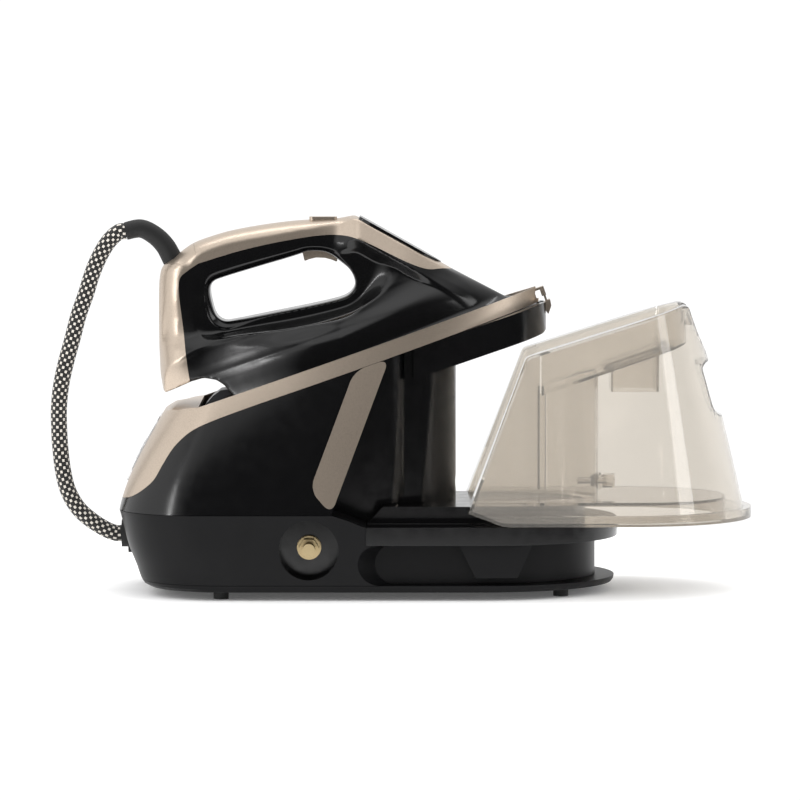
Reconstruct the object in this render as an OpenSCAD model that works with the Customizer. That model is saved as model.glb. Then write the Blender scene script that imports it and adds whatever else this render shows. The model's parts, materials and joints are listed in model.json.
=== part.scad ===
// Steam generator iron: a boiler base with a sloping rest, a pull-out water
// tank that straddles the base's column, and the iron on its rest.
// Millimetres. +X points to the iron's nose and the way the tank pulls out,
// +Z is up and z = 0 is the table. The tank is drawn out by tank_travel.

/* [Base] */
// Rear end of the base at the seam
base_x0 = -251.6; // [-262:0.2:-245]
// Front end of the tank platform
base_x1 = 145.8; // [138:0.2:152]
// Half the width of the base at the seam
base_hw = 104; // [98:1:112]
// Corner radius at the rear of the base, seen from above
base_rr = 62; // [50:1:75]
// Length of the rounded front of the base, seen from above
base_nose = 110; // [90:1:130]
// Gap between the table and the base plate
foot_h = 6.5; // [4:0.5:9]
// Diameter of a rubber foot
foot_d = 12; // [9:0.5:16]
// Thickness of the base plate
plate_t = 5.5; // [3:0.5:7]
// Height of the seam between lower body and upper housing
seam_z = 67.5; // [66:0.5:70]
// Wall of the base's casings
wall = 3; // [2:0.2:4]

/* [Platform] */
// Height of the platform that the tank slides on
platform_z = 58; // [56:0.5:60]
// Thickness of the platform
platform_t = 14.2; // [11:0.2:17]
// Front end of the raised deck in the middle of the platform
deck_x1 = 119; // [110:1:122]
// Half the width of the raised deck
deck_hw = 70; // [64:1:74]
// Height of the deck over the platform
deck_h = 13.5; // [11:0.5:15]
// How far the groove for the wound hose reaches in from the base's edge
groove_d = 19; // [12:1:26]
// Left end of the groove
groove_x0 = -64; // [-72:1:-56]

/* [Column] */
// Front of the column that carries the rest
column_x1 = 15.5; // [12:0.5:18]
// Half the width of the column
column_hw = 38; // [32:1:41]
// Front of the wider shoulder behind the column
shoulder_x1 = -20; // [-24:1:-19]
// Half the width of that shoulder
shoulder_hw = 50; // [44:1:52]
// Half the width of the housing under the nose of the rest
nose_hw = 45; // [42:1:48]
// Front end of that housing
nose_x1 = 87.5; // [84:0.5:90]
// Depth of that housing under the rim, measured straight down
nose_drop = 25; // [18:1:28]

/* [Rest] */
// Slope of the rest
tilt = 19; // [18:0.5:20]
// Height of the rim's top edge at rim_x
rim_z = 157; // [154:0.5:160]
// Height of the rim's side, measured straight down
rim_h = 13; // [11:0.5:15]
// Half the width of the rim at its rear
rim_hw = 70; // [66:1:74]
// Tip of the rim
rim_x1 = 83; // [81:0.5:85]
// Depth of the rest inside the rim
rest_depth = 10; // [8:0.5:11]
// Wall of the rim
rim_wall = 3.4; // [2.4:0.2:4.4]

/* [Tank] */
// How far the tank is drawn out of its docked place
tank_travel = 106; // [60:1:118]
// Wall of the tank
tank_wall = 2.4; // [1.8:0.2:3]
// Half the width of the tank's body at its foot
tank_hw = 97; // [92:1:100]
// Half the width of the tank's body at its top
tank_top_hw = 64; // [60:1:68]
// Height of the flange round the tank's foot
flange_h = 8.5; // [6:0.5:10]
// Length of the filler opening
filler_l = 38; // [30:1:42]
// Half the width of the filler opening
filler_hw = 25; // [18:1:28]

/* [Drain] */
// Place of the drain along the base
drain_x = -100.8; // [-104:0.2:-97]
// Height of the drain's centre
drain_z = 40; // [37:0.5:43]
// Diameter of the recess round the drain
drain_d = 47; // [40:1:48]
// Depth of that recess
drain_depth = 30; // [20:1:34]
// Diameter of the brass drain plug's neck
plug_d = 9.8; // [8:0.2:12]

/* [Iron] */
// Half the width of the soleplate
sole_hw = 60; // [56:1:61]
// Thickness of the soleplate
sole_t = 2.8; // [2:0.2:3.2]
// Height of the soleplate over the floor of the rest
pad_h = 3; // [2:0.5:4]
// Half the width of the handle
handle_hw = 21; // [18:0.5:24]
// Wall of the iron's casings
iron_wall = 3; // [2.2:0.2:3.6]
// Swing of the steam trigger, in degrees
trigger_swing = 7; // [4:0.5:8]
// Length of the steam trigger
trigger_l = 27; // [20:1:32]

/* [Clearances] */
// Running gap between the tank and the base
slide_gap = 1.5; // [1:0.1:2]
// Gap between moving trim pieces and their openings
move_gap = 0.5; // [0.3:0.05:0.8]
// Seam between fixed pieces
seam = 0.2; // [0.1:0.05:0.4]
// Radial running clearance of a pin in its bore
pin_gap = 0.08; // [0.05:0.01:0.1]

/* [Hidden] */
$fn = 48;
big = 600;

gloss_black = "#1b1b1d";
satin_black = "#2a2a2b";
champagne = "#b9ab9b";
brass = "#c8b48c";
steel = "#b8babd";
smoke = [0.80, 0.74, 0.68, 0.5];
rubber = "#151515";

// ---- shapes shared by several pieces ----

function lerp(a, b, t) = a + (b - a) * t;
function flat(lists) = [for (l = lists) each l];
function mirrored(half) =
    concat(half, [for (i = [len(half) - 2:-1:1]) [half[i][0], -half[i][1]]]);

// Half an outline seen from above, from the middle of the rear to the tip:
// a round rear corner, a straight side and a nose that closes by p and q.
function half_plan(x0, x1, hw, rr, nose, p, q, n = 11) = concat(
    [[x0, 0]],
    [for (i = [0:6]) [x0 + rr * (1 - cos(15 * i)), hw - rr + rr * sin(15 * i)]],
    [for (i = [0:n]) let (t = sin(90 * i / n))
        [x1 - nose + nose * t, hw * pow(max(0, 1 - pow(t, p)), 1 / q)]]);
function plan(x0, x1, hw, rr, nose, p = 2.2, q = 2) = mirrored(half_plan(x0, x1, hw, rr, nose, p, q));

// A solid through rings of equal length, listed from the bottom up.
module loft(rings) {
    n = len(rings[0]);
    m = len(rings);
    polyhedron(flat(rings), concat(
        [for (i = [1:n - 2]) [0, i + 1, i]],
        flat([for (k = [0:m - 2]) for (i = [0:n - 1]) let (a = k * n + i, b = k * n + (i + 1) % n)
            [[a, b, b + n], [a, b + n, a + n]]]),
        [for (i = [1:n - 2]) (m - 1) * n * [1, 1, 1] + [0, i, i + 1]]), convexity = 6);
}

// An outline drawn from the side, in x and z, made solid from y0 to y1.
module side(y0 = -big / 2, y1 = big / 2) {
    translate([0, y1, 0]) rotate([90, 0, 0]) linear_extrude(y1 - y0) children();
}

// An outline drawn from above, made solid from z0 to z1.
module above(z0, z1) {
    translate([0, 0, z0]) linear_extrude(z1 - z0) children();
}

module bar_y(r, y0, y1) {
    translate([0, y0, 0]) rotate([-90, 0, 0]) cylinder(h = y1 - y0, r = r);
}

module bar_x(r, x0, x1) {
    translate([x0, 0, 0]) rotate([0, 90, 0]) cylinder(h = x1 - x0, r = r);
}

module box(low, high) {
    translate(low) cube(high - low);
}

module rounded(r) {
    offset(r) offset(-r) children();
}

// ---- the rest's own frame: u runs up the slope, v stands on it ----
rim_x = -167;
function tray_z(x) = rim_z + tan(tilt) * (x - rim_x);
function from_uv(u, v) = [rim_x + u * cos(tilt) - v * sin(tilt), rim_z + u * sin(tilt) + v * cos(tilt)];
module on_rest() {
    translate([rim_x, 0, rim_z]) rotate([0, -tilt, 0]) children();
}
rest_v = -rest_depth * cos(tilt);
sole_v = rest_v + pad_h;

// ---- the base's outside ----
body_x1 = 60;
rest_x0 = base_x0 + 31.6;
bulge = 5;
front_lean = 42.9 / 113.3;
front_foot = -82.5;
function front_x(z) = front_foot + front_lean * (z - seam_z - 2.2);

// The sloping upper part's outline at height share t, from the seam to the rim
function shell_ring(t, g) = let (
        x0 = lerp(base_x0, rest_x0, t) - 4 * bulge * t * (1 - t) + g,
        x1 = lerp(body_x1, rim_x1, t) - g,
        hw = lerp(base_hw, rim_hw, t) + 1.6 * bulge * t * (1 - t) - g,
        rr = lerp(base_rr, 45, t) - g,
        nose = lerp(150, 203, t))
    [for (c = plan(x0, x1, hw, rr, nose, lerp(2.2, 1.9, t), lerp(1.6, 1.3, t)))
        [c[0], c[1], lerp(seam_z, tray_z(c[0]), t)]];
module upper_form(g = 0) {
    loft([for (t = [-0.05, 0.2, 0.45, 0.7, 0.93, 1.13]) shell_ring(t, g)]);
}

// The skirt's draw-in towards the table: height, at the rear, at the sides
skirt = [[foot_h, 24, 6], [foot_h + 3, 19, 4], [24.5, 13, 2.5], [40, 7, 1.5], [60, 2, 0.5], [seam_z, 0, 0]];
function base_plan(g, rear = 0, sides = 0) =
    plan(base_x0 + g + rear, base_x1 - g - sides, base_hw - g - sides, base_rr - g, base_nose);
module skirt_form(g = 0) {
    loft([for (s = skirt) [for (c = base_plan(g, s[1], s[2])) [c[0], c[1], s[0]]]]);
}

// Line between the pale rim and the black housing, seen from the side
rim_straight = base_x0 + 112.6;
rim_edge = concat([for (p = [[1.6, 77], [6.6, 78.2], [11.6, 80.2], [19.1, 85], [28.6, 93.5], [36, 106],
    [43.6, 118], [52.8, 127.6], [62, 134], [74.6, 139.7], [89.6, 145.4]]) p + [base_x0, 0]],
    [[rim_straight, tray_z(rim_straight) - rim_h]]);
rim_low = concat([[base_x0 - 12, 76.5]], rim_edge, [[rim_x1 + 15, tray_z(rim_x1 + 15) - rim_h]]);
bezel_x1 = rest_x0 + 30;
rim_high = concat([[rim_x1 + 15, tray_z(rim_x1 + 15)], [rim_x1 - 4, tray_z(rim_x1 - 4)],
    [bezel_x1 + 3, tray_z(bezel_x1 + 3)]],
    [for (p = [[30, 149.6], [18, 149.3], [12, 147.8], [6, 145], [0, 141.5]]) p + [rest_x0, 0]],
    [[rest_x0 - 42, 119]]);
bezel_z = 149.6;

// ---- casings of the base ----

module base_plate() {
    color(satin_black) difference() {
        intersection() {
            skirt_form();
            above(foot_h, foot_h + plate_t) square(2 * big, center = true);
        }
        drain_recess(1);
        translate([0, 0, foot_h - 1]) for (p = feet_at) translate(p) cylinder(h = 3,
            d = foot_d - 3 + 2 * seam);
    }
}

lower_z = foot_h + plate_t + seam;
groove_top = platform_z - platform_t;
groove_draft = 15;
module groove_outline(shift, length) {
    r = (groove_top - lower_z) / 2;
    translate([groove_x0 + r + shift, lower_z + r]) circle(r);
    translate([groove_x0 + r + shift, lower_z]) square([length - shift, 2 * r]);
}
// The groove's left end runs inwards at a slant
module groove() {
    side() groove_outline(groove_draft, big);
    for (s = [-1, 1]) hull() {
        side(s * (base_hw + 5) - 0.5, s * (base_hw + 5) + 0.5) groove_outline(-groove_draft * 5 / groove_d, 30);
        side(s * (base_hw - groove_d) - 0.5, s * (base_hw - groove_d) + 0.5) groove_outline(groove_draft,
            30);
    }
}

module drain_recess(grow = 0) {
    translate([drain_x, -base_hw - 5, drain_z])
        bar_y(drain_d / 2 + grow, 0, 5 + drain_depth + grow);
}

// Where the raised rear of the lower body runs down to the platform
join_x = groove_x0 + 8;
ramp = [[join_x, platform_z], [join_x - 5, platform_z + 1.6], [join_x - 13, seam_z - 4.5],
    [front_foot, seam_z - seam]];
module lower_body() {
    color(satin_black) difference() {
        intersection() {
            skirt_form();
            side() polygon(concat([[-big, lower_z], [big, lower_z], [big, groove_top - seam],
                [join_x, groove_top - seam]], ramp, [[-big, seam_z - seam]]));
        }
        difference() {
            groove();
            above(0, 100) polygon(base_plan(groove_d));
        }
        difference() {
            intersection() {
                skirt_form(wall);
                side() polygon([[-big, 0], [base_x1 - 40, 0], [base_x1 - 40, groove_top - wall],
                    [join_x - wall, groove_top - wall], [join_x - wall, platform_z - wall],
                    [join_x - 14, seam_z - 5 - wall], [front_foot - 6, seam_z - wall],
                    [front_foot - 6, seam_z + 5], [-big, seam_z + 5]]);
                union() {
                    above(0, 100) polygon(base_plan(groove_d + wall));
                    box([-big, -big, 0], [groove_x0 - wall, big, 100]);
                }
            }
            drain_recess(wall);
        }
        drain_recess();
        translate([gland_x, 0, gland_z]) bar_x(gland_r + seam, -20, 30);
        translate([inlet_x, inlet_y, inlet_z]) bar_x(inlet_r + seam, -20, 30);
        translate([0, -drain_y, 0]) translate([drain_x, 0, drain_z]) bar_y(plug_d, -10, 10);
    }
}

feet_at = [for (x = [-170, 98], y = [-1, 1]) [x, y * (x < 0 ? base_hw - 24 : base_hw - 46)]];
module feet() {
    color(rubber) for (p = feet_at) translate(p) {
        cylinder(h = foot_h, d = foot_d);
        cylinder(h = foot_h + 1.6, d = foot_d - 3);
    }
}

module deck_outline(g = 0, x0 = -90) {
    polygon(plan(x0, deck_x1 + g, deck_hw + g, 10, 80, 2.6));
}

module tank_platform() {
    back_x = join_x + seam;
    deck_z = platform_z + deck_h;
    color(gloss_black) difference() {
        union() {
            intersection() {
                above(groove_top, platform_z) rounded(6) polygon(base_plan(0, 0, 1));
                box([back_x, -big, 0], [big, big, 100]);
            }
            intersection() {
                above(platform_z - 1, deck_z) deck_outline();
                side() polygon([[back_x, platform_z - 2], [back_x + 1, platform_z], [-44, deck_z - 1.2],
                    [-42.5, deck_z], [big, deck_z], [big, 0], [back_x, 0]]);
            }
        }
        intersection() {
            above(groove_top - 1, deck_z - wall) deck_outline(-wall);
            side() polygon([[back_x + wall, 0], [big, 0], [big, big], [-38, big], [-38, deck_z - wall],
                [back_x + wall + 2, platform_z - wall]]);
        }
    }
}

// Flap that keeps the wound hose in the groove, one on each side
clip_y = base_hw - 6;
module hose_clip() {
    color(satin_black) for (s = [-1, 1]) scale([1, s, 1]) difference() {
        side(clip_y - 4, clip_y) rounded(2.5) polygon([[12, platform_z - platform_t + 9],
            [16, 46], [30, 18], [63, 18], [75.6, 46], [80, platform_z - platform_t + 9]]);
        side(clip_y - 5, clip_y + 5) translate([0, groove_top - seam]) square([big, 30]);
    }
}

module housing_outline() {
    z0 = seam_z + seam;
    intersection() {
        polygon(concat([[rest_x0 - 42, z0]], [for (p = rim_low) p - [0, seam]], [[rim_x1 + 15, z0]]));
        polygon([[-big, 0], [front_x(0), 0], [front_x(big), big], [-big, big]]);
    }
}

stripe_w = 24;
module stripe_outline(grow = 0) {
    z0 = seam_z + 1;
    z1 = z0 + 19;
    offset(grow) rounded(5) intersection() {
        polygon([[front_x(z0), z0], [front_x(220), 220], [front_x(220) - stripe_w, 220],
            [front_x(z1) - stripe_w, z1]]);
        polygon([[-big, 0], [big, 0], [big, tray_z(big) - rim_h - seam], [-big,
            tray_z(-big) - rim_h - seam]]);
    }
}

module upper_housing() {
    color(gloss_black) difference() {
        intersection() {
            upper_form();
            side() housing_outline();
        }
        intersection() {
            upper_form(wall);
            side() polygon([[-big, 0], [front_x(0) - wall, 0], [front_x(big) - wall, big], [-big, big]]);
        }
        difference() {
            side() stripe_outline(seam);
            upper_form(wall - 1);
        }
        translate([0, 0, spout_z]) bar_x(pipe_r + 1, -100, -60);
    }
}

module side_stripes() {
    color(champagne) difference() {
        intersection() {
            upper_form(-0.4);
            side() stripe_outline();
        }
        upper_form(wall - 1 - seam);
    }
}

// The round-nosed column and its shoulder, seen from above
module column_form(z0, z1, g = 0) {
    half = concat([for (c = half_plan(-150, shoulder_x1 + g, shoulder_hw + g, 5, 34, 2, 4.5))
        if (c[1] > column_hw + g) c], [[column_x1 - column_hw, column_hw + g]]);
    above(z0, z1) polygon(concat(half, [for (i = [len(half) - 1:-1:0]) [half[i][0], -half[i][1]]]));
    translate([column_x1 - column_hw, 0, z0]) cylinder(h = z1 - z0, r = column_hw + g);
}

module column() {
    deck_z = platform_z + deck_h + seam;
    color(gloss_black) difference() {
        intersection() {
            column_form(platform_z, 260);
            side() polygon([[-110, seam_z + seam], for (i = [3:-1:0]) ramp[i] + [0, seam + 0.1],
                [join_x + 1 + seam, platform_z + seam], [-44, deck_z - 1.2], [-42.5, deck_z],
                [100, deck_z], [100, tray_z(100) - rim_h - 0.1], [-110, tray_z(-110) - rim_h - 0.1]]);
            side() polygon([[front_x(0) + seam, 0], [big, 0], [big, big], [front_x(big) + seam, big]]);
            union() {
                box([-big, -big, 0], [nose_back, big, 400]);
                side() polygon([[nose_back - 1, 0], [big, 0], [big, nose_low(big) - seam],
                    [nose_back - 1, nose_low(nose_back - 1) - seam]]);
            }
        }
        intersection() {
            column_form(deck_z - 1, 300, -wall);
            side() polygon([[front_x(0) - 5, deck_z + wall], [-40, deck_z + wall], [-40, 0], [big, 0],
                [big, big],
                [front_x(big) - 5, big]]);
        }
        translate([0, 0, spout_z]) bar_x(spout_r + 1.6, 0, 40);
    }
}

// Housing under the nose of the rest, in front of the column
function nose_low(x) = tray_z(x) - rim_h - nose_drop;
nose_back = front_x(170) + 26;
module nose_outline(g = 0) {
    difference() {
        polygon(plan(-120, nose_x1 - g, nose_hw - g, 10, 34, 2.4, 2));
        translate([nose_back + g - big, -big / 2]) square([big, big]);
    }
}
module nose_housing() {
    color(gloss_black) difference() {
        intersection() {
            above(100, 300) nose_outline();
            side() rounded(3.5) polygon([[-big, nose_low(-big)], [nose_x1, nose_low(nose_x1)],
                [nose_x1, tray_z(nose_x1) - rim_h - 0.2], [-big, tray_z(-big) - rim_h - 0.2]]);
        }
        intersection() {
            above(100, 300) nose_outline(wall);
            side() polygon([[-big, nose_low(-big) + wall], [big, nose_low(big) + wall], [big, 400],
                [-big, 400]]);
        }
        on_rest() box([latch_u - latch_travel - 2, -grip_hw - move_gap, latch_v - lever_h - move_gap],
            [big, grip_hw + move_gap, 20]);
    }
}

module tray_rim() {
    color(champagne) difference() {
        intersection() {
            upper_form();
            side() polygon(concat(rim_low, rim_high));
        }
        intersection() {
            upper_form(rim_wall);
            side() polygon([[-big, 0], [big, 0], [big, big], [bezel_x1 + 2, big],
                [bezel_x1 + 2, bezel_z - 3], [-big, bezel_z - 3]]);
        }
        on_panel() translate([0, 0, -20]) linear_extrude(40) lens_outline(seam);
        on_rest() box([200, -latch_hw - move_gap, latch_v - move_gap], [290, latch_hw + move_gap, 5]);
        on_rest() box([latch_u - latch_travel - move_gap, -latch_hw - move_gap,
            latch_v - head_h - move_gap],
            [290, latch_hw + move_gap, 5]);
    }
}

module tray_floor() {
    color(satin_black) intersection() {
        upper_form(rim_wall + seam);
        side() polygon([[bezel_x1 - 1, tray_z(bezel_x1 - 1) - rim_h + seam],
            [rim_x1, tray_z(rim_x1) - rim_h + seam],
            [rim_x1, tray_z(rim_x1) - rest_depth],
            [bezel_x1 + 2 - seam, tray_z(bezel_x1 + 2 - seam) - rest_depth],
            [bezel_x1 + 2 - seam, bezel_z - 3 - seam], [bezel_x1 - 1, bezel_z - 3 - seam]]);
    }
}

pads_at = [[24, -44], [24, 44], [120, -42], [120, 42], [205, -14], [205, 14]];
module rest_pads() {
    color(rubber) on_rest() for (p = pads_at) translate([p[0], p[1], rest_v]) cylinder(h = pad_h - 0.1,
        d1 = 14, d2 = 12);
}

module heel_hook() {
    foot = tray_z(-177) - rest_depth;
    color("#4a4a4c") intersection() {
        side(-17, 17) rounded(1.2) polygon([[-186, foot - 4], [-184, foot + 5], [-178.5, 155],
            [-172.5, 159.6],
            [-167, 160.6], [-164, 158.2], [-163.4, 156], [-166, 155.5], [-170, 153.5],
                [-171.6, foot + 4], [-171, foot]]);
        side() polygon([[-big, tray_z(-big) - rest_depth], [big, tray_z(big) - rest_depth], [big, big],
            [-big, big]]);
    }
}

// ---- control panel at the rear ----
lens_low = [base_x0 + 4.6, 88.7];
lens_high = [rest_x0 + 0.6, 141.5];
lens_lean = atan2(lens_high[1] - lens_low[1], lens_high[0] - lens_low[0]);
lens_l = norm(lens_high - lens_low);
module on_panel() {
    mid = (lens_low + lens_high) / 2;
    translate([mid[0], 0, mid[1]]) rotate([0, -lens_lean, 0]) children();
}
module lens_outline(g = 0) {
    offset(g) rounded(9) polygon([[-lens_l / 2, -38], [lens_l / 2 - 2, -31], [lens_l / 2 - 2, 31],
        [-lens_l / 2, 38]]);
}
button_at = [[-4, -14], [-4, 14]];
button_r = 8;
lens_in = 1.8;
module panel_lens() {
    color("#e9e9ea") difference() {
        intersection() {
            upper_form(-0.8);
            on_panel() translate([0, 0, -20]) linear_extrude(40) lens_outline();
        }
        upper_form(lens_in);
        on_panel() for (p = button_at) translate([p[0], p[1], -20]) cylinder(h = 40,
            r = button_r + move_gap);
    }
}
module panel_button(i) {
    on_panel() translate([button_at[i][0], button_at[i][1], 0]) {
        translate([0, 0, -2.2]) cylinder(h = 3.6, r = button_r);
        translate([0, 0, -5]) cylinder(h = 3, r = 3);
    }
}
module power_button() color("#d8d8da") panel_button(0);
module mode_button() color("#d8d8da") panel_button(1);

// Board behind the lens, on four pegs that stand off it
module control_board() {
    color("#1f5a3a") {
        on_panel() {
            box([-24, -34, -9.8], [5, 34, -8]);
            for (p = button_at) box([p[0] - 3.5, p[1] - 3.5, -8], [p[0] + 3.5, p[1] + 3.5, -6.3]);
            box([-18, -30, -16], [4, -12, -9.8]);
        }
        intersection() {
            upper_form(lens_in + 0.3);
            on_panel() for (x = [-20, 1], y = [-30, 30]) translate([x, y, -8.1]) cylinder(h = 20, r = 2);
        }
    }
}

// ---- inside the base ----
gland_x = base_x0 + 3.6;
gland_z = 44;
gland_r = 11;
inlet_x = base_x0 + 8.6;
inlet_y = 44;
inlet_z = 32;
inlet_r = 8;
boiler_x = base_x0 + 85.6;
boiler_r = 44;
boiler_z = foot_h + plate_t + 3;
boiler_top = 106;
pipe_r = 4;
spout_r = 4.4;
spout_bore = 1.5;
spout_z = 86;
drain_y = base_hw - drain_depth;

module boiler() {
    color(steel) translate([boiler_x, 0, boiler_z]) {
        rotate_extrude() polygon(concat([[0, 0]],
            [for (a = [-90:15:0]) [boiler_r - 12 + 12 * cos(a), 12 + 12 * sin(a)]],
            [for (a = [0:15:90]) [boiler_r - 16 + 16 * cos(a), boiler_top - boiler_z - 16 + 16 * sin(a)]],
            [[0, boiler_top - boiler_z]]));
        translate([0, 0, 40]) cylinder(h = 5, r = boiler_r + 1.5);
        for (a = [45:90:315]) rotate(a) translate([boiler_r - 8, 0, -2.6]) cylinder(h = 5, r = 4);
    }
}

module steam_valve() {
    color(brass) translate([boiler_x, 0, boiler_top]) {
        cylinder(h = 9, r = 7);
        box([-12, -9, 8.9], [12, 9, 22]);
    }
    color("#2b2b2b") translate([boiler_x + 4, 0, boiler_top + 8]) box([8.2, -12, 0.6], [34, 12, 18]);
}

module pipe_run(points, r) {
    for (i = [0:len(points) - 2]) {
        d = points[i + 1] - points[i];
        translate(points[i]) rotate([0, acos(d[2] / norm(d)), atan2(d[1], d[0])]) cylinder(h = norm(d),
            r = r);
        translate(points[i]) sphere(r);
    }
    translate(points[len(points) - 1]) sphere(r);
}

module steam_pipe() {
    x = gland_x + 31.5;
    color("#9c9c98") difference() {
        pipe_run([[boiler_x - 12.1 - pipe_r, 0, boiler_top + 15.5], [x, 0, boiler_top + 15.5],
            [x, 0, gland_z + gland_r + pipe_r + 0.1]], pipe_r);
        translate([boiler_x - 12.1, -10, boiler_top + 5]) cube([20, 20, 20]);
    }
}

module drain_pipe() {
    color(brass) difference() {
        pipe_run([[drain_x, -drain_y + wall + 3, drain_z], [drain_x, -14, drain_z],
            [boiler_x + 20, -14, drain_z]], pipe_r + 1);
        translate([boiler_x, 0, 0]) cylinder(h = 200, r = boiler_r + 0.2);
        box([-big, -big, 0], [big, -drain_y + wall + 2.4, 100]);
    }
}

pump_x = -98;
pump_y = 52;
module pump() {
    color("#3a3d42") translate([pump_x, pump_y, foot_h + plate_t + 0.1]) {
        box([-17, -17, 0], [17, 17, 6]);
        translate([0, 0, 5.9]) cylinder(h = 34, r = 15);
        translate([0, 0, 39.8]) cylinder(h = 8, r = 5);
    }
}

module water_pipe() {
    low = foot_h + plate_t + 48;
    color("#d9d9d4") difference() {
        pipe_run([[socket_x0 - pipe_r, 0, spout_z], [pump_x, 0, spout_z], [pump_x, pump_y, spout_z],
            [pump_x, pump_y, low]], pipe_r);
        box([pump_x - 9, pump_y - 9, 0], [pump_x + 9, pump_y + 9, low]);
    }
}

// Bush in the foot of the column that takes the tank's spout
socket_x0 = -6;
module tank_socket() {
    color(brass) translate([0, 0, spout_z]) difference() {
        bar_x(spout_r + 1.4, socket_x0 + 4.1, column_x1 - 2);
        bar_x(spout_r - 1.6 + move_gap, socket_x0 + 7, 60);
        bar_x(pipe_r - 1, socket_x0, 60);
    }
}

module hose_gland() {
    color(rubber) translate([gland_x, 0, gland_z]) {
        bar_x(gland_r, -4, 36);
        bar_x(gland_r + 3, 11.5, 14);
    }
}

module mains_inlet() {
    color(rubber) translate([inlet_x, inlet_y, inlet_z]) difference() {
        union() {
            bar_x(inlet_r, -6, 16);
            bar_x(inlet_r + 3, 11.5, 15);
        }
        bar_x(3.6, -7, 10);
    }
}

module base_screws() {
    color(steel) for (p = [[base_x0 + 46.6, 55], [base_x0 + 46.6, -55], [-120, 72], [-120, -20],
            [40, 62], [40, -62], [118, 0]])
        translate([p[0], p[1], foot_h - 1.8]) cylinder(h = 1.8, d = 8);
}

// ---- drain ----
module drain_ring() {
    color(brass) translate([drain_x, -drain_y, drain_z]) difference() {
        union() {
            bar_y(plug_d / 2 + 4.4, -6, -0.1);
            bar_y(plug_d - seam, -0.2, wall + 2);
        }
        bar_y(plug_d / 2 + pin_gap, -12, wall + 3);
    }
}

module drain_plug() {
    color(brass) translate([drain_x, -drain_y, drain_z]) {
        bar_y(plug_d / 2, -25, wall + 1);
        rotate([90, 0, 0]) translate([0, 0, 6.4]) cylinder(h = 5, r = plug_d / 2 + 3.2, $fn = 6);
    }
}

// ---- the iron ----
sole_u0 = 6;
sole_u1 = 256;
function iron_hw(v) = lookup(v, [[-8, sole_hw], [2, sole_hw - 1.5], [12, 54], [25, 44], [40, 33], [55, 27],
    [75, handle_hw + 2.5], [100, handle_hw], [140, handle_hw - 1]]);
function iron_tip(v) = v < 0 ? lerp(238, sole_u1 - 8, -v / 4) : 236 - 0.925 * v;
// Outline of the iron's body at height v over the rest, seen square to it
function iron_ring(v, g) = let (
        s = max(0, min(1, v / 60)),
        hw = iron_hw(v) - g,
        u0 = lerp(4, -60, min(1, max(0, v - 3) / 14)) + g)
    [for (c = plan(u0, iron_tip(v) - g, hw, lerp(30, hw + g - 4, min(1, max(0, v / 14))) - g, lerp(186,
        62, s), lerp(1.9, 2.2, s), lerp(1.35, 2, s)))
        [c[0], c[1], v]];
iron_levels = [-4, 0, 6, 13, 22, 32, 44, 58, 76, 100, 135];
module iron_form(g = 0) {
    on_rest() loft([for (v = iron_levels) iron_ring(v, g)]);
}

// Top line of the iron seen from the side: heel, handle, slope of the panel and nose
iron_top = [[-221, 250], [-217.5, 259.5], [-207, 267.5], [-194, 277], [-178, 282.6], [-162, 287], [-139, 291.2],
    [-116, 294.2], [-96, 295.6], [-79.5, 296.2], [-66, 298.8], [-62, 298], [4.8, 260.6], [11.6, 256.6], [55.4, 234]];
iron_side = concat([[-218, 158], [-220.6, 173], [-221.6, 195], [-221.8, 230]], iron_top,
    [from_uv(248, -1), from_uv(250, -8), from_uv(8, -8), from_uv(3, 3), [-167.8, 165.2], [-174.8, 169.6],
    [-185.2, 170.9], [-196, 167.8]]);
// Opening for the fingers, which flares out to both sides
finger_flare = 22;
finger_hole = [[-180.5, 240], [-179, 230], [-175.5, 219.5], [-169, 215], [-159, 216], [-131, 221.6],
    [-101, 227.6],
    [-76, 233.6], [-67.5, 239], [-65, 246.5], [-68.8, 255.6], [-76.5, 262.4], [-84.5, 268.2], [-92, 270.6],
    [-102, 270.6], [-110, 268], [-122, 264.2], [-139, 259.2], [-171, 249.4], [-178.5, 245.6]];
// A long round-topped bar whose top edge runs from a to b, seen from the side
module roof(a, b, hw, r) {
    ang = atan2(b[1] - a[1], b[0] - a[0]);
    translate([a[0], 0, a[1]]) rotate([0, -ang, 0]) rotate([90, 0, 90]) translate([0, 0, -300])
        linear_extrude(900) offset(r) translate([-hw + r, -400]) square([2 * (hw - r), 400 - r]);
}
module iron_body(g = 0) {
    intersection() {
        iron_form(g);
        side() offset(-g) polygon(iron_side);
        roof([-196, 277.6 - g], [-116, 295.4 - g], 80, 12);
    }
}
module finger_opening(grow = 0) {
    side() offset(grow) polygon(finger_hole);
    for (s = [-1, 1]) hull() {
        side(s * 12 - 0.5, s * 12 + 0.5) offset(grow) polygon(finger_hole);
        side(s * 44 - 0.5, s * 44 + 0.5) offset(grow + finger_flare) polygon(finger_hole);
    }
}

heel_edge = [[-189.5, 261], [-199, 254.5], [-204, 249.5], [-205.2, 242], [-204, 228], [-202, 213],
    [-198, 181], [-194.5, 160]];
cover_edge = [[-189, 261.5], [-162, 269.6], [-139, 275.4], [-116, 280], [-96, 283], [-81, 283.8],
    [-67, 282.2],
    [-52, 276.4], [-29, 265], [-14, 258.6], [-5, 256.6], [4.8, 257], [14, 256]];
module heel_region(g = 0) {
    offset(-g) polygon(concat([[-240, 140]], [for (i = [len(heel_edge) - 1:-1:0]) heel_edge[i]],
        [[-193.8, 276], [-197, 300], [-240, 300]]));
}
module cover_region(g = 0) {
    offset(-g) polygon(concat([[-193.6, 276.5]], cover_edge, [[20, 256], [20, 320], [-197, 320]]));
}
panel_line = [[-61.5, 297.5], [3.5, 261.1]];
panel_proud = 0.9;
panel_lean = atan2(panel_line[1][1] - panel_line[0][1], panel_line[1][0] - panel_line[0][0]);
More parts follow.
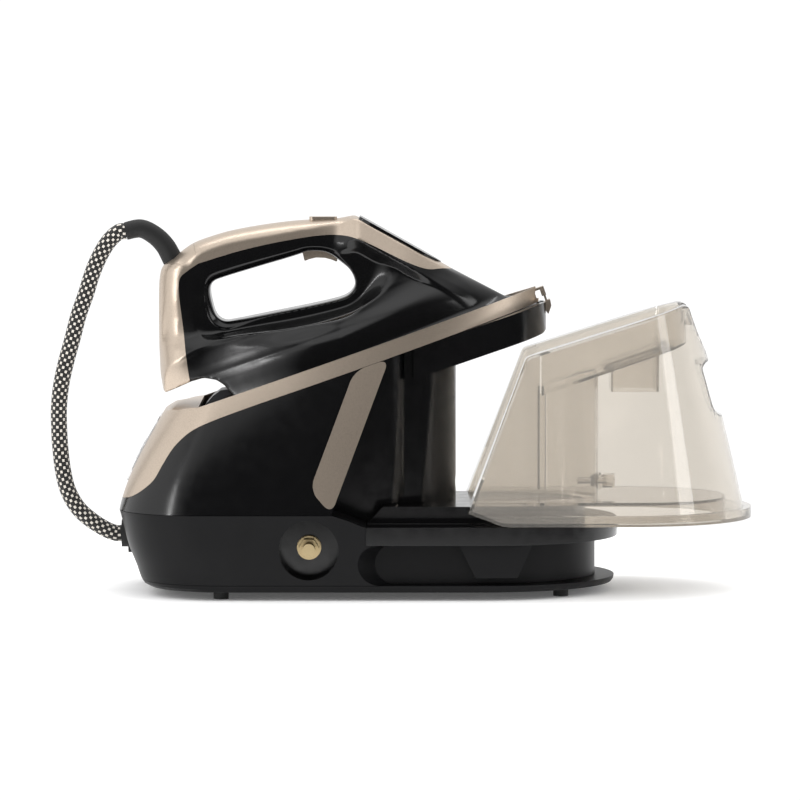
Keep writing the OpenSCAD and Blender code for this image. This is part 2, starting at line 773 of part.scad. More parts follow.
module on_top_panel() {
    translate([panel_line[0][0], 0, panel_line[0][1]]) rotate([0, -panel_lean, 0]) children();
}
module top_panel_outline(g = 0) {
    l = norm(panel_line[1] - panel_line[0]);
    offset(g) rounded(5) polygon([[0, -15], [10, -18.5], [l - 16, -16], [l - 3, -8], [l, 0], [l - 3, 8],
        [l - 16, 16], [10, 18.5], [0, 15]]);
}

module steam_button_cut(g = 0) {
    translate([button_mid, 0, 0]) above(crown - 15, 320) rounded(3) square([22 + 2 * g, 14 + 2 * g],
        center = true);
}
button_mid = -90.5;
crown = lookup(button_mid, iron_top);
button_top = crown + 1.8;
button_h = 6.6;

module heel_cover() {
    color(champagne) difference() {
        intersection() {
            iron_body();
            side() heel_region(seam / 2);
        }
        intersection() {
            iron_body(iron_wall);
            side() translate([3, 0]) heel_region(0);
        }
    }
}

module handle_cover() {
    color(champagne) difference() {
        intersection() {
            iron_body();
            side() cover_region(seam / 2);
        }
        finger_opening();
        on_top_panel() translate([0, 0, -2.6]) linear_extrude(20) top_panel_outline(seam);
        steam_button_cut(move_gap);
    }
}

module top_panel() {
    color(gloss_black) on_top_panel() translate([0, 0, -2.4]) linear_extrude(2.4 + panel_proud)
        top_panel_outline();
}

module iron_shell() {
    color(gloss_black) difference() {
        intersection() {
            iron_body();
            on_rest() box([-big, -big, sole_v + sole_t + 0.1], [big, big, big]);
        }
        side() heel_region(-seam / 2);
        side() cover_region(-seam / 2);
        finger_opening();
        intersection() {
            iron_form(iron_wall);
            on_rest() box([24, -big, -20], [214, big, 30]);
            side() offset(-iron_wall) polygon(iron_side);
        }
        trigger_slot();
        on_top_panel() translate([0, 0, -2.8]) linear_extrude(20) top_panel_outline(seam);
        translate([button_mid, 0, 0]) box([-12, -8, button_top - button_h - 7], [12, 8, 320]);
    }
}

module soleplate() {
    color(steel) on_rest() difference() {
        above(sole_v, sole_v + sole_t) polygon(plan(sole_u0, sole_u1, sole_hw, 28, 192, 1.9, 1.35));
        for (s = [-1, 1], i = [0:6]) translate([60 + 24 * i, s * (46 - 4.6 * i),
            sole_v - 1]) cylinder(h = 6, d = 3.2);
    }
}

module steam_chamber() {
    color("#8f9194") on_rest() {
        above(sole_v + sole_t, 14) polygon(plan(28, 208, 44, 20, 130, 1.9, 1.35));
        above(13.9, 24) polygon(plan(50, 170, 26, 12, 60, 1.9, 1.5));
    }
}

// ---- trigger and button of the iron ----
trigger_mid = -92.8;
trigger_pivot = [trigger_mid - trigger_l / 2 - 9, 272];
module trigger_slot() {
    side(-8 - move_gap, 8 + move_gap) polygon([[trigger_pivot[0] - 6, 277.5], [trigger_pivot[0] - 6, 262],
        [trigger_mid + trigger_l / 2 + 3, 256], [trigger_mid + trigger_l / 2 + 3, 280],
            [trigger_pivot[0], 280]]);
}
module steam_trigger() {
    color(champagne) difference() {
        union() {
            side(-7.5, 7.5) rounded(0.8) polygon([[trigger_pivot[0] - 2, 275], [trigger_pivot[0] - 2,
                269.2],
                [trigger_mid - trigger_l / 2 - 0.5, 268.8], [trigger_mid - trigger_l / 2 + 1, 262.4],
                [trigger_mid - trigger_l / 2 + 5, 264], [trigger_mid - 3, 265.2], [trigger_mid + 4, 264.9],
                [trigger_mid + trigger_l / 2 - 4, 263.4], [trigger_mid + trigger_l / 2, 261.6],
                [trigger_mid + trigger_l / 2, 271.4]]);
            translate([trigger_pivot[0], 0, trigger_pivot[1]]) bar_y(3.4, -7.5, 7.5);
        }
        translate([trigger_pivot[0], 0, trigger_pivot[1]]) bar_y(1.6, -9, 9);
    }
}

module trigger_switch() {
    color("#3b3b3d") {
        box([trigger_mid - 6, -5, 277], [trigger_mid + 8, 5, 279.9]);
        translate([trigger_pivot[0], 0, trigger_pivot[1]]) bar_y(1.6 - pin_gap, -8.4, 8.4);
    }
}

module steam_button() {
    color(champagne) translate([button_mid, 0, 0]) {
        above(button_top - button_h, button_top) rounded(3) square([22, 14], center = true);
        above(button_top - button_h - 3, button_top - button_h + 0.1) rounded(3) square([12, 8],
            center = true);
    }
}

// ---- tank ----
tank_x = tank_travel + slide_gap;
tank_z = platform_z + 0.3;
tank_lean = 19.6;
function tank_top(x) = 184 + tan(tank_lean) * (x + 38.2);
function tank_shelf(x) = nose_low(x) - 8;
notch_gap = slide_gap + 2.5;
notch_x1 = column_x1 + notch_gap;
trough_hw = nose_hw + slide_gap + 0.5;
trough_x1 = nose_x1 + slide_gap;
tunnel_z = platform_z + deck_h + 1;
body_z = tank_z + flange_h;
function tank_ring(t, g) = let (x1 = lerp(138.2, 93.5, t) - g, hw = lerp(tank_hw, tank_top_hw, t) - g)
    [for (c = plan(lerp(-108, -116, t) + g, x1, hw, 20 - g, lerp(110, 62, t), lerp(2.2, 2.5, t)))
        [c[0], c[1], lerp(body_z, tank_top(c[0]) + 14, t)]];
// All tank shapes are drawn at the docked place and moved out by tank_x
module tank_form(g = 0) {
    loft([for (t = [-0.06, 0.25, 0.5, 0.75, 1]) tank_ring(t, g)]);
}
grip = [[110.2, 184], [102.6, 180.4], [112.6, 145], [119.6, 138.6], [160, 138.6], [160, 184]];
module tank_side(g = 0) {
    offset(-g) polygon([[front_x(tank_z), tank_z], [front_x(188), 188], [front_x(188) + 2, 189.4],
        [88, tank_top(88)], [91, tank_top(88) + 0.4],
        [94.5, 221], [99.6, 207], [110.2, 184], [150, 184], [150, tank_z]]);
}
module notch(g = 0) {
    column_form(0, 400, notch_gap + g);
}
module trough(g = 0) {
    intersection() {
        above(0, 400) polygon(plan(-150, trough_x1 + g, trough_hw + g, 10, 30, 2.5, 2));
        side() polygon([[-big, tank_shelf(-big) - g], [big, tank_shelf(big) - g], [big, big], [-big, big]]);
    }
}
module tunnel(g = 0) {
    above(0, tunnel_z + g) deck_outline(slide_gap + g, -160);
}
module grip_recess(g = 0) {
    side(-44 - g, 44 + g) offset(g) polygon(grip);
}
// Space over the lower body's ramp, which the docked tank keeps clear of
module over_ramp(g = 0) {
    side() polygon(concat([[join_x + 4, platform_z - 5], [join_x + 4, tank_z + g]],
        [for (p = ramp) p + [0, 0.8 + g]], [[-200, seam_z + 0.8 + g], [-200, platform_z - 5]]));
}
// Cut in the tank's front lip for the latch, which also serves as a thumb notch
module latch_clear(g = 0) {
    box([60, -grip_hw - 3 - g, 214 - g], [trough_x1 + 7.5 + g, grip_hw + 3 + g, 400]);
}
filler_x = 50.2;
well_z = 159;
module filler_cut(g = 0) {
    box([filler_x - filler_l / 2 - g, -filler_hw - g, 100],
        [filler_x + filler_l / 2 + g, filler_hw + g, 300]);
}
module tank_shell() {
    color(smoke) translate([tank_x, 0, 0]) difference() {
        union() {
            intersection() {
                tank_form();
                side() tank_side();
            }
            intersection() {
                above(tank_z, body_z) polygon(plan(-110, base_x1 - slide_gap, tank_hw + 4.5, 20, 110));
                side() polygon([[front_x(tank_z), tank_z], [big, tank_z], [big, big], [front_x(big), big]]);
            }
        }
        over_ramp();
        latch_clear();
        notch();
        trough();
        tunnel();
        grip_recess();
        difference() {
            intersection() {
                tank_form(tank_wall);
                side() tank_side(tank_wall);
            }
            notch(tank_wall);
            trough(tank_wall);
            tunnel(tank_wall);
            grip_recess(tank_wall);
            over_ramp(tank_wall);
            latch_clear(tank_wall);
            box([-big, -big, 0], [big, big, tank_z + tank_wall]);
        }
        filler_cut(seam);
        translate([0, 0, spout_z]) bar_x(spout_r + 1, notch_x1 - 2, notch_x1 + 8);
    }
}

flap_x = filler_x + filler_l / 2 + 4.4;
lip_t = 1;
flap_t = 2;
flap_pin = [flap_x, tank_shelf(flap_x) + 3.9];
flap_hw = filler_hw + 2;
knuckle_hw = flap_hw - 5.6;
// A layer over the tank's sloping top, from z0 to z1 above it
module shelf_layer(z0, z1) {
    side() polygon([[-big, tank_shelf(-big) + z0], [big, tank_shelf(big) + z0],
        [big, tank_shelf(big) + z1], [-big, tank_shelf(-big) + z1]]);
}
module filler_well() {
    t = 1.8;
    color(smoke) translate([tank_x, 0, 0]) difference() {
        union() {
            intersection() {
                filler_cut();
                side() polygon([[0, well_z], [100, well_z], [100, tank_shelf(100) + lip_t],
                    [0, tank_shelf(0) + lip_t]]);
            }
            intersection() {
                above(100, 300) rounded(3) translate([filler_x - filler_l / 2 - 6, -filler_hw - 5])
                    square([filler_l + 16, 2 * filler_hw + 10]);
                shelf_layer(0.05, lip_t);
            }
            for (s = [-1, 1]) translate([flap_pin[0], s * (flap_hw - 3.5), flap_pin[1]]) bar_y(2.8, -1.5,
                1.5);
            intersection() {
                for (s = [-1, 1]) translate([flap_pin[0], s * (flap_hw - 3.5), flap_pin[1]])
                    box([-2.8, -1.5, -6], [2.8, 1.5, 0]);
                shelf_layer(0.05, 8);
            }
        }
        filler_cut(-t);
        translate([flap_pin[0], 0, flap_pin[1]]) bar_y(1.5 + pin_gap, -50, 50);
    }
}
module filler_flap() {
    low = lip_t + 0.3;
    x0 = filler_x - filler_l / 2 - 5;
    x1 = flap_pin[0] - 3.6;
    color(smoke) translate([tank_x, 0, 0]) {
        side(-flap_hw, flap_hw) polygon([[x0, tank_shelf(x0) + low], [x1, tank_shelf(x1) + low],
            [x1, tank_shelf(x1) + low + flap_t], [x0, tank_shelf(x0) + low + flap_t]]);
        side(-knuckle_hw, knuckle_hw) polygon([[x1 - 1, tank_shelf(x1 - 1) + low],
            flap_pin - [0, 2], flap_pin + [0, 1], [x1 - 1, tank_shelf(x1 - 1) + low + flap_t]]);
        translate([flap_pin[0], 0, flap_pin[1]]) {
            bar_y(2.4, -knuckle_hw, knuckle_hw);
            bar_y(1.5, -flap_hw + 1.6, flap_hw - 1.6);
        }
    }
}
module tank_spout() {
    color("#d0d0cc") translate([tank_x, 0, spout_z]) difference() {
        union() {
            bar_x(spout_r, notch_x1 - 0.2, notch_x1 + 9);
            bar_x(spout_r + 2.4, notch_x1 + tank_wall + 0.4, notch_x1 + tank_wall + 2.2);
            bar_x(spout_r - 1.6, notch_x1 - 14, notch_x1);
        }
        bar_x(spout_bore, notch_x1 - 15, notch_x1 + 20);
    }
}
module tank_seal() {
    color(rubber) translate([tank_x, 0, spout_z]) rotate([0, 90, 0]) translate([0, 0, notch_x1 - 3.4])
        difference() {
            cylinder(h = 2.4, r = spout_r);
            translate([0, 0, -1]) cylinder(h = 5, r = spout_r - 1.6 + pin_gap);
        }
}
module tank_filter() {
    color("#c9c4b4") translate([tank_x, 0, spout_z]) difference() {
        bar_x(spout_r + 1.4, notch_x1 + 6, notch_x1 + 16);
        bar_x(spout_r + 0.2, notch_x1 + 5, notch_x1 + 14.6);
    }
}

// ---- latch at the tip of the rest ----
latch_hw = 5;
grip_hw = 7;
latch_travel = 4;
latch_v = sole_v + sole_t + move_gap;
latch_u = sole_u1 + 6.6;
head_h = 5.6;
lever_h = 21;
module iron_latch() {
    color(steel) on_rest() {
        box([sole_u1 + 1.2, -latch_hw, latch_v], [latch_u + 1, latch_hw, latch_v + 1.8]);
        box([latch_u, -latch_hw, latch_v - head_h], [latch_u + 3.6, latch_hw, latch_v + 1.8]);
    }
    color(brass) on_rest() box([latch_u + 1.3, -3.4, latch_v - 11.6], [latch_u + 3, 3.4,
        latch_v - head_h + 0.1]);
    color("#dcdcdc") on_rest() side(-grip_hw, grip_hw) rounded(0.6) polygon([[latch_u - 0.4,
        latch_v - 10.6],
        [latch_u + 5.4, latch_v - 9.6], [latch_u + 4.6, latch_v - 15], [latch_u, latch_v - lever_h],
        [latch_u - 1.4, latch_v - 15]]);
}

// ---- hose ----
relief_r = 8.5;
hose_d = 13;
// Middle line of the hose, from the strain relief to the gland on the base
hose_route = [[-248, 0, 286], [-254, 0, 285], [-262, 0, 277.5], [-269, 0, 266], [-275, 0, 252],
    [-280, 0, 236], [-286, 0, 219],
    [-291, 0, 200], [-296, 0, 182], [-300, 0, 164], [-302, 0, 146], [-302, 0, 128], [-301, 0, 111],
    [-299, 0, 94], [-295, 0, 78], [-287, 0, 64], [-276, 0, 54], [-265, 0, 47], [-257, 0, gland_z],
        [gland_x - 4, 0, gland_z]];
module tube(points, r, sides = 10) {
    n = len(points);
    dirs = [for (i = [0:n - 1]) let (d = points[min(n - 1, i + 1)] - points[max(0, i - 1)]) d / norm(d)];
    loft([for (i = [0:n - 1]) let (t = dirs[i], w = [-t[2], 0, t[0]])
        [for (k = [0:sides - 1]) let (a = 360 * k / sides) points[i] + r * (cos(a) * [0, 1,
            0] + sin(a) * w)]]);
}
module strain_relief() {
    color(rubber) difference() {
        tube([[-210, 0, 262], [-216.5, 0, 274], [-225, 0, 282.6], [-236, 0, 288], hose_route[0]],
            relief_r, 16);
        iron_body(-seam);
    }
}
module steam_hose() {
    color("#1d1c1b") tube(hose_route, hose_d / 2);
}

base_plate();
lower_body();
tank_platform();
hose_clip();
upper_housing();
side_stripes();
column();
nose_housing();
tray_rim();
tray_floor();
rest_pads();
heel_hook();
panel_lens();
feet();
drain_ring();
drain_plug();
boiler();
steam_valve();
pump();
control_board();
steam_pipe();
water_pipe();
tank_socket();
drain_pipe();
hose_gland();
mains_inlet();
base_screws();
power_button();
mode_button();
iron_latch();
soleplate();
steam_chamber();
iron_shell();
heel_cover();
handle_cover();
top_panel();
strain_relief();
trigger_switch();
steam_trigger();
steam_button();
tank_shell();
filler_well();
tank_spout();
tank_seal();
tank_filter();
filler_flap();
steam_hose();
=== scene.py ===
"""Looks of a steam generator iron: boiler base, water tank, iron and hose."""
import json
from math import cos, hypot, pi, radians, sin, sqrt, tan

import bmesh
import bpy
import numpy as np
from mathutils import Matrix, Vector


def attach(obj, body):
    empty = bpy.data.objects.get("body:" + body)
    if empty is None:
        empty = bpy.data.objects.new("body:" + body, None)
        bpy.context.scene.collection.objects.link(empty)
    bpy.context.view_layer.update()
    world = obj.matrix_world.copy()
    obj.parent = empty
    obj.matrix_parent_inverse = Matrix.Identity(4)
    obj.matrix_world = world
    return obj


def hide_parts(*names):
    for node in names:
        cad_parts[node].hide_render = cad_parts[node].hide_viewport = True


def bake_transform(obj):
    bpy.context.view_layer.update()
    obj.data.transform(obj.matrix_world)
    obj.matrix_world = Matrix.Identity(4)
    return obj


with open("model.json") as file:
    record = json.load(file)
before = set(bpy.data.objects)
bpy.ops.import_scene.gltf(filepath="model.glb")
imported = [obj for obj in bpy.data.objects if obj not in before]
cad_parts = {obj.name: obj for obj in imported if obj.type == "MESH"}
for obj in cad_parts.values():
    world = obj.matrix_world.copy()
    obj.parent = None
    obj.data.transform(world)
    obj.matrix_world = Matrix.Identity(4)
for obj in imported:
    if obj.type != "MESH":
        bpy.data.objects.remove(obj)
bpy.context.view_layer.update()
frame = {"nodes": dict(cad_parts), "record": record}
MM = 1000  # millimetres in a metre
BIG = 900.0  # past every piece, for cutting tools

# ---- sizes, mm
BASE_X0, BASE_X1, BASE_HW, BASE_RR, BASE_NOSE = -251.6, 145.8, 104.0, 62.0, 110.0
SEAM = 0.2  # gap that shows as a line between two casings
FOOT_H, PLATE_T, SEAM_Z = 6.5, 5.5, 67.5
LOWER_Z = FOOT_H + PLATE_T + SEAM
PLATFORM_Z, DECK_X1, DECK_HW, DECK_H = 58.0, 119.0, 70.0, 13.5
GROOVE_D, GROOVE_X0, GROOVE_TOP = 19.0, -64.0, 43.8
NOSE_HW, NOSE_X1, NOSE_DROP = 45.0, 87.5, 25.0
TILT = radians(19)
RIM_X, RIM_Z, RIM_H, RIM_HW, RIM_X1 = -167.0, 157.0, 13.0, 70.0, 83.0
REST_DEPTH, RIM_WALL = 10.0, 3.4
TANK_X, TANK_WALL, TANK_HW, TANK_TOP_HW = 107.5, 2.4, 97.0, 64.0
FLANGE_H, SLIDE = 8.5, 1.5
STRIPE_W = 24.0
COLUMN_X1, COLUMN_HW, SHOULDER_X1, SHOULDER_HW = 15.5, 38.0, -20.0, 50.0
NOTCH_GAP = SLIDE + 2.5
NOTCH_X1 = COLUMN_X1 + NOTCH_GAP
FILLER_X, FILLER_HL, FILLER_HW = 50.2, 19.2, 25.2
SOLE_V = -REST_DEPTH * cos(TILT) + 3.0
SOLE_TOP = SOLE_V + 2.8
FRONT_X, LEAN = -82.5, 42.9 / 113.3  # front edge of the housing at the seam, and how far it leans
DRAIN_X, DRAIN_Z, DRAIN_R, DRAIN_DEPTH = -100.8, 40, 23.5, 30
NOSE_BACK = FRONT_X + LEAN * (170 - SEAM_Z - 2.2) + 26
TANK_Z = PLATFORM_Z + 0.3
GLAND_Z, GLAND_R, INLET_Y, INLET_Z, INLET_R = 44, 11.2, 44, 32, 8.2
SPOUT_Z = 86
HOSE_R, RELIEF_R, RELIEF_TAPER = 6.5, 8.3, 0.02
# Pale checks of the sleeve: their pitch along it, and round it for seven to a turn
CHECK_RUN, CHECK_TURN = 6.0, 2 * pi * HOSE_R / 7


# ---- the view
def in_scene(name, data):
    """New object in the scene that shows the data."""
    made = bpy.data.objects.new(name, data)
    bpy.context.scene.collection.objects.link(made)
    return made


def aim_camera():
    """Long lens at table height, level with the side of the iron."""
    distance, rise = 4.3, radians(4.2)
    sensor, seen_width = 36.0, 0.640
    target = Vector((-0.0292, 0.0, 0.1508))
    data = bpy.data.cameras.new("camera")
    data.lens = sensor * distance / seen_width
    data.clip_start, data.clip_end = 0.1, 50.0
    camera = in_scene("camera", data)
    back = Vector((0.0, -cos(rise), sin(rise)))
    camera.location = target + distance * back
    camera.rotation_mode = "QUATERNION"
    camera.rotation_quaternion = (-back).to_track_quat("-Z", "Y")
    bpy.context.scene.camera = camera


# ---- materials
def srgb(text):
    """Linear colour from a hex triplet."""
    channels = [int(text[i:i + 2], 16) / 255 for i in (0, 2, 4)]
    return [c / 12.92 if c <= 0.04045 else ((c + 0.055) / 1.055) ** 2.4 for c in channels] + [1.0]


def grey(value):
    return (value, value, value, 1.0)


def per_mm(size):
    """Texture scale that gives features of this size in millimetres."""
    return MM / size


def add(material, kind, settings=None, links=None, feeds=None):
    """Adds a node with its settings, the links into its inputs, and the inputs that its outputs feed."""
    tree = material.node_tree
    made = tree.nodes.new("ShaderNode" + kind)
    for key, value in (settings or {}).items():
        if key == "ramp":
            for stop, (place, colour) in zip(made.color_ramp.elements, value):
                stop.position, stop.color = place, colour
        elif isinstance(key, str) and hasattr(made, key):
            setattr(made, key, value)
        else:
            made.inputs[key].default_value = value
    for key, (source, output) in (links or {}).items():
        tree.links.new(source.outputs[output], made.inputs[key])
    for output, (target, key) in (feeds or {}).items():
        tree.links.new(made.outputs[output], target.inputs[key])
    return made


def finish_of(name, **sockets):
    """A new material with its Principled shader, whose sockets are set by name."""
    material = bpy.data.materials.new(name)
    material.use_nodes = True
    shader = material.node_tree.nodes["Principled BSDF"]
    for key, value in sockets.items():
        shader.inputs[key.replace("_", " ")].default_value = value
    return material, shader


def grained(name, grain, detail, depth, strength, **sockets):
    """A finish with a noise relief, grain and depth in mm; also its shader, coordinates and noise."""
    material, shader = finish_of(name, **sockets)
    place = add(material, "TexCoord")
    noise = add(material, "TexNoise", {"Scale": per_mm(grain), "Detail": detail},
                {"Vector": (place, "Object")})
    add(material, "Bump", {"Strength": strength, "Distance": depth / MM},
        {"Height": (noise, "Fac")}, {"Normal": (shader, "Normal")})
    return material, shader, place, noise


def polished_abs():
    """Gloss ABS from a polished mould: deep black with a faint long ripple in its reflections."""
    material, shader, place, _ = grained("polished_abs", grain=28, detail=1.0, depth=0.02, strength=0.3,
                                         Base_Color=srgb("070708"), IOR=1.5, Roughness=0.09)
    haze = add(material, "TexNoise", {"Scale": per_mm(9), "Detail": 4.0}, {"Vector": (place, "Object")})
    add(material, "ValToRGB", {"ramp": [(0.3, grey(0.15)), (0.7, grey(0.22))]},
        {"Fac": (haze, "Fac")}, {"Color": (shader, "Roughness")})
    return material


def textured_abs(name="textured_abs", tint="101011", rough=0.38):
    """ABS from a spark-eroded mould: its fine grain is drawn at 0.9 mm so that it still shows."""
    material, shader, place, _ = grained(name, grain=0.9, detail=2.0, depth=0.05, strength=0.55,
                                         Base_Color=srgb(tint), IOR=1.5, Roughness=rough,
                                         Specular_IOR_Level=0.14)
    wear = add(material, "TexNoise", {"Scale": per_mm(40), "Detail": 3.0}, {"Vector": (place, "Object")})
    worn = [min(1.0, 1.25 * c) for c in srgb(tint)[:3]] + [1.0]
    add(material, "ValToRGB", {"ramp": [(0.35, srgb(tint)), (0.7, worn)]},
        {"Fac": (wear, "Fac")}, {"Color": (shader, "Base Color")})
    return material


def champagne_lacquer():
    """Satin metallic lacquer over ABS: aluminium flake, drawn at 0.7 mm so that it shows, under a coat."""
    material, shader = finish_of("champagne_lacquer", Base_Color=srgb("C0B1A1"), Metallic=0.88,
                                 Roughness=0.34, Coat_Weight=0.08, Coat_Roughness=0.25)
    place = add(material, "TexCoord")
    flake = add(material, "TexVoronoi", {"Scale": per_mm(0.7)}, {"Vector": (place, "Object")})
    add(material, "ValToRGB", {"ramp": [(0.1, srgb("CDBEAE")), (0.8, srgb("BCAD9D"))]},
        {"Fac": (flake, "Distance")}, {"Color": (shader, "Base Color")})
    add(material, "Bump", {"Strength": 0.25, "Distance": 0.02 / MM},
        {"Height": (flake, "Distance")}, {"Normal": (shader, "Normal")})
    return material


def turned_metal(name, tint, rough, ring=0.5):
    """Metal left from the lathe or grinder: fine tool lines that break up its highlights."""
    material, shader, _, lines = grained(name, grain=ring, detail=2.0, depth=0.01, strength=0.3,
                                         Base_Color=srgb(tint), Metallic=1.0, Roughness=rough)
    smooth, dull = grey(rough * 0.75), grey(min(1.0, rough * 1.35))
    add(material, "ValToRGB", {"ramp": [(0.3, smooth), (0.7, dull)]},
        {"Fac": (lines, "Fac")}, {"Color": (shader, "Roughness")})
    return material


def moulded_rubber():
    """Moulded rubber: matt, nearly black, with a soft skin."""
    return grained("moulded_rubber", grain=1.4, detail=3.0, depth=0.05, strength=0.5,
                   Base_Color=srgb("141414"), IOR=1.5, Roughness=0.62)[0]


def smoked_polycarbonate():
    """Clear polycarbonate with a warm smoke tint in its depth: pale through a wall, brown along an edge."""
    material, *_ = grained("smoked_polycarbonate", grain=45, detail=1.0, depth=0.08, strength=0.25,
                           Base_Color=srgb("F6F2EC"), IOR=1.5, Roughness=0.02, Transmission_Weight=0.92)
    add(material, "VolumeAbsorption", {"Color": srgb("C5C0B7"), "Density": 46.0}, None,
        {"Volume": (material.node_tree.nodes["Material Output"], "Volume")})
    return material


def silicone():
    """Extruded silicone tube: milky, so that what lies behind it shows only as a soft shade."""
    return grained("silicone", grain=5, detail=2.0, depth=0.05, strength=0.4,
                   Base_Color=srgb("C9C8C0"), IOR=1.41, Roughness=0.35, Transmission_Weight=0.35)[0]


def circuit_board():
    """Glass-fibre board under green solder mask, whose tracks show as paler lines."""
    material, shader = finish_of("solder_mask", Base_Color=srgb("1F5A36"), IOR=1.5, Roughness=0.3)
    place = add(material, "TexCoord")
    add(material, "TexBrick",
        {"Scale": per_mm(60), "Color1": srgb("1F5A36"), "Color2": srgb("246640"), "Mortar": srgb("2F7B4C")},
        {"Vector": (place, "Object")}, {"Color": (shader, "Base Color")})
    return material


def woven_sleeve():
    """Textile sleeve over the hose: black yarn with staggered rows of pale checks, drawn large to show."""
    yarn, check_yarn = srgb("151413"), srgb("CFC9BF")
    material, shader = finish_of("woven_sleeve", Base_Color=yarn, IOR=1.5, Roughness=0.8,
                                 Sheen_Weight=0.2, Sheen_Roughness=0.5)
    place = add(material, "UVMap", {"uv_map": "run"})
    rows = []
    for shift in (0.0, 0.5):
        grid = add(material, "Mapping",
                   {"vector_type": "POINT", "Scale": (1 / CHECK_RUN, 1 / CHECK_TURN, 1.0),
                    "Location": (shift, shift, 0.0)}, {"Vector": (place, "UV")})
        cell = add(material, "VectorMath", {"operation": "FRACTION"}, {0: (grid, "Vector")})
        split = add(material, "SeparateXYZ", None, {"Vector": (cell, "Vector")})
        run, turn = [add(material, "Math", {"operation": "LESS_THAN", 1: width}, {0: (split, axis)})
                     for axis, width in (("X", 0.36), ("Y", 0.33))]
        rows.append(add(material, "Math", {"operation": "MULTIPLY"},
                        {0: (run, "Value"), 1: (turn, "Value")}))
    check = add(material, "Math", {"operation": "MAXIMUM"},
                {0: (rows[0], "Value"), 1: (rows[1], "Value")})
    add(material, "ValToRGB", {"ramp": [(0.4, yarn), (0.6, check_yarn)]},
        {"Fac": (check, "Value")}, {"Color": (shader, "Base Color")})
    weave = add(material, "TexChecker", {"Scale": 6.0}, {"Vector": (grid, "Vector")})
    add(material, "Bump", {"Strength": 0.8, "Distance": 0.25 / MM},
        {"Height": (weave, "Fac")}, {"Normal": (shader, "Normal")})
    return material


def clear_coated_plate():
    """Silvered plate under clear acrylic, the control panel's front: a bright sheet with a hard gloss."""
    material, shader = finish_of("acrylic_plate", Base_Color=srgb("DCDCDD"), Metallic=0.35, Roughness=0.18,
                                 Coat_Weight=0.8, Coat_Roughness=0.03)
    place = add(material, "TexCoord")
    fine = add(material, "TexNoise", {"Scale": per_mm(0.8), "Detail": 1.0}, {"Vector": (place, "Object")})
    add(material, "ValToRGB", {"ramp": [(0.35, srgb("D6D6D8")), (0.65, srgb("E6E6E6"))]},
        {"Fac": (fine, "Fac")}, {"Color": (shader, "Base Color")})
    return material


def make_finishes():
    """One finish for each material slot of the record."""
    return {
        "gloss_black": polished_abs(),
        "satin_black": textured_abs(),
        "champagne": champagne_lacquer(),
        "smoke_clear": smoked_polycarbonate(),
        "panel_clear": clear_coated_plate(),
        "rubber": moulded_rubber(),
        "brass": turned_metal("turned_brass", "CBB78E", 0.32),
        "steel": turned_metal("brushed_steel", "B9BBBE", 0.28),
        "chrome": turned_metal("bright_plating", "D9DADC", 0.08, 4.0),
        "cast_alloy": turned_metal("cast_alloy", "9B9DA0", 0.5, 1.5),
        "board": circuit_board(),
        "hook_grey": textured_abs("dark_moulding", "3A3A3C", 0.3),
        "clear_tube": silicone(),
        "braid": woven_sleeve(),
    }


# ---- shape tools, all in millimetres
def lerp(a, b, t):
    return a + (b - a) * t


def clamp(x):
    return max(0.0, min(1.0, x))


def along(table, x):
    """Smooth value of a table of (x, value) pairs, without overshoot."""
    n = len(table)
    if x <= table[0][0]:
        return table[0][1]
    if x >= table[-1][0]:
        return table[-1][1]
    slope = [(table[i + 1][1] - table[i][1]) / (table[i + 1][0] - table[i][0]) for i in range(n - 1)]
    tangent = [0.0 if a * b <= 0 else 2 * a * b / (a + b) for a, b in zip(slope, slope[1:])]
    tangent = [slope[0]] + tangent + [slope[-1]]
    i = max(k for k in range(n - 1) if table[k][0] <= x)
    h = table[i + 1][0] - table[i][0]
    t = (x - table[i][0]) / h
    return ((1 + 2 * t) * (1 - t) ** 2 * table[i][1] + t * (1 - t) ** 2 * h * tangent[i]
            + t * t * (3 - 2 * t) * table[i + 1][1] + t * t * (t - 1) * h * tangent[i + 1])


def rest_point(u, y, v):
    """Point in the rest's own frame: u up the slope, v square to it."""
    c, s = cos(TILT), sin(TILT)
    return (RIM_X + u * c - v * s, y, RIM_Z + u * s + v * c)


def tray_z(x):
    """Height of the rim's top line, which slopes with the rest."""
    return RIM_Z + tan(TILT) * (x - RIM_X)


def curve_through(points, steps=6, closed=False):
    """Catmull-Rom curve through points of any dimension."""
    n = len(points)
    out = []
    for i in range(n if closed else n - 1):
        near = range(i - 1, i + 3)
        p = [points[k % n if closed else max(0, min(n - 1, k))] for k in near]
        for k in range(steps):
            t = k / steps
            out.append(tuple(0.5 * (2 * b + (c - a) * t + (2 * a - 5 * b + 4 * c - d) * t * t
                                    + (3 * b - a - 3 * c + d) * t ** 3) for a, b, c, d in zip(*p)))
    if not closed:
        out.append(tuple(points[-1]))
    return out


def rounded_outline(points, radius):
    """Closed outline with each corner turned by an arc-like blend that starts radius away from it."""
    n, steps, out = len(points), 5, []
    for i in range(n):
        a, b, c = (Vector(points[(i + k) % n]) for k in (-1, 0, 1))
        r = min(radius, 0.45 * (a - b).length, 0.45 * (c - b).length)
        p, q = b + (a - b).normalized() * r, b + (c - b).normalized() * r
        for k in range(steps + 1):
            t = k / steps
            m = (1 - t) ** 2 * p + 2 * t * (1 - t) * (0.25 * (p + q) / 2 + 0.75 * b) + t * t * q
            out.append(tuple(m))
    return out


def solid(vertices, faces, smooth=30.0):
    """Mesh object from millimetres, with outward faces and edges sharper than smooth kept sharp."""
    mesh = bpy.data.meshes.new("form")
    mesh.from_pydata([tuple(c / MM for c in v) for v in vertices], [], faces)
    work = bmesh.new()
    work.from_mesh(mesh)
    bmesh.ops.recalc_face_normals(work, faces=work.faces)
    work.to_mesh(mesh)
    work.free()
    return shade(in_scene(mesh.name, mesh), smooth)


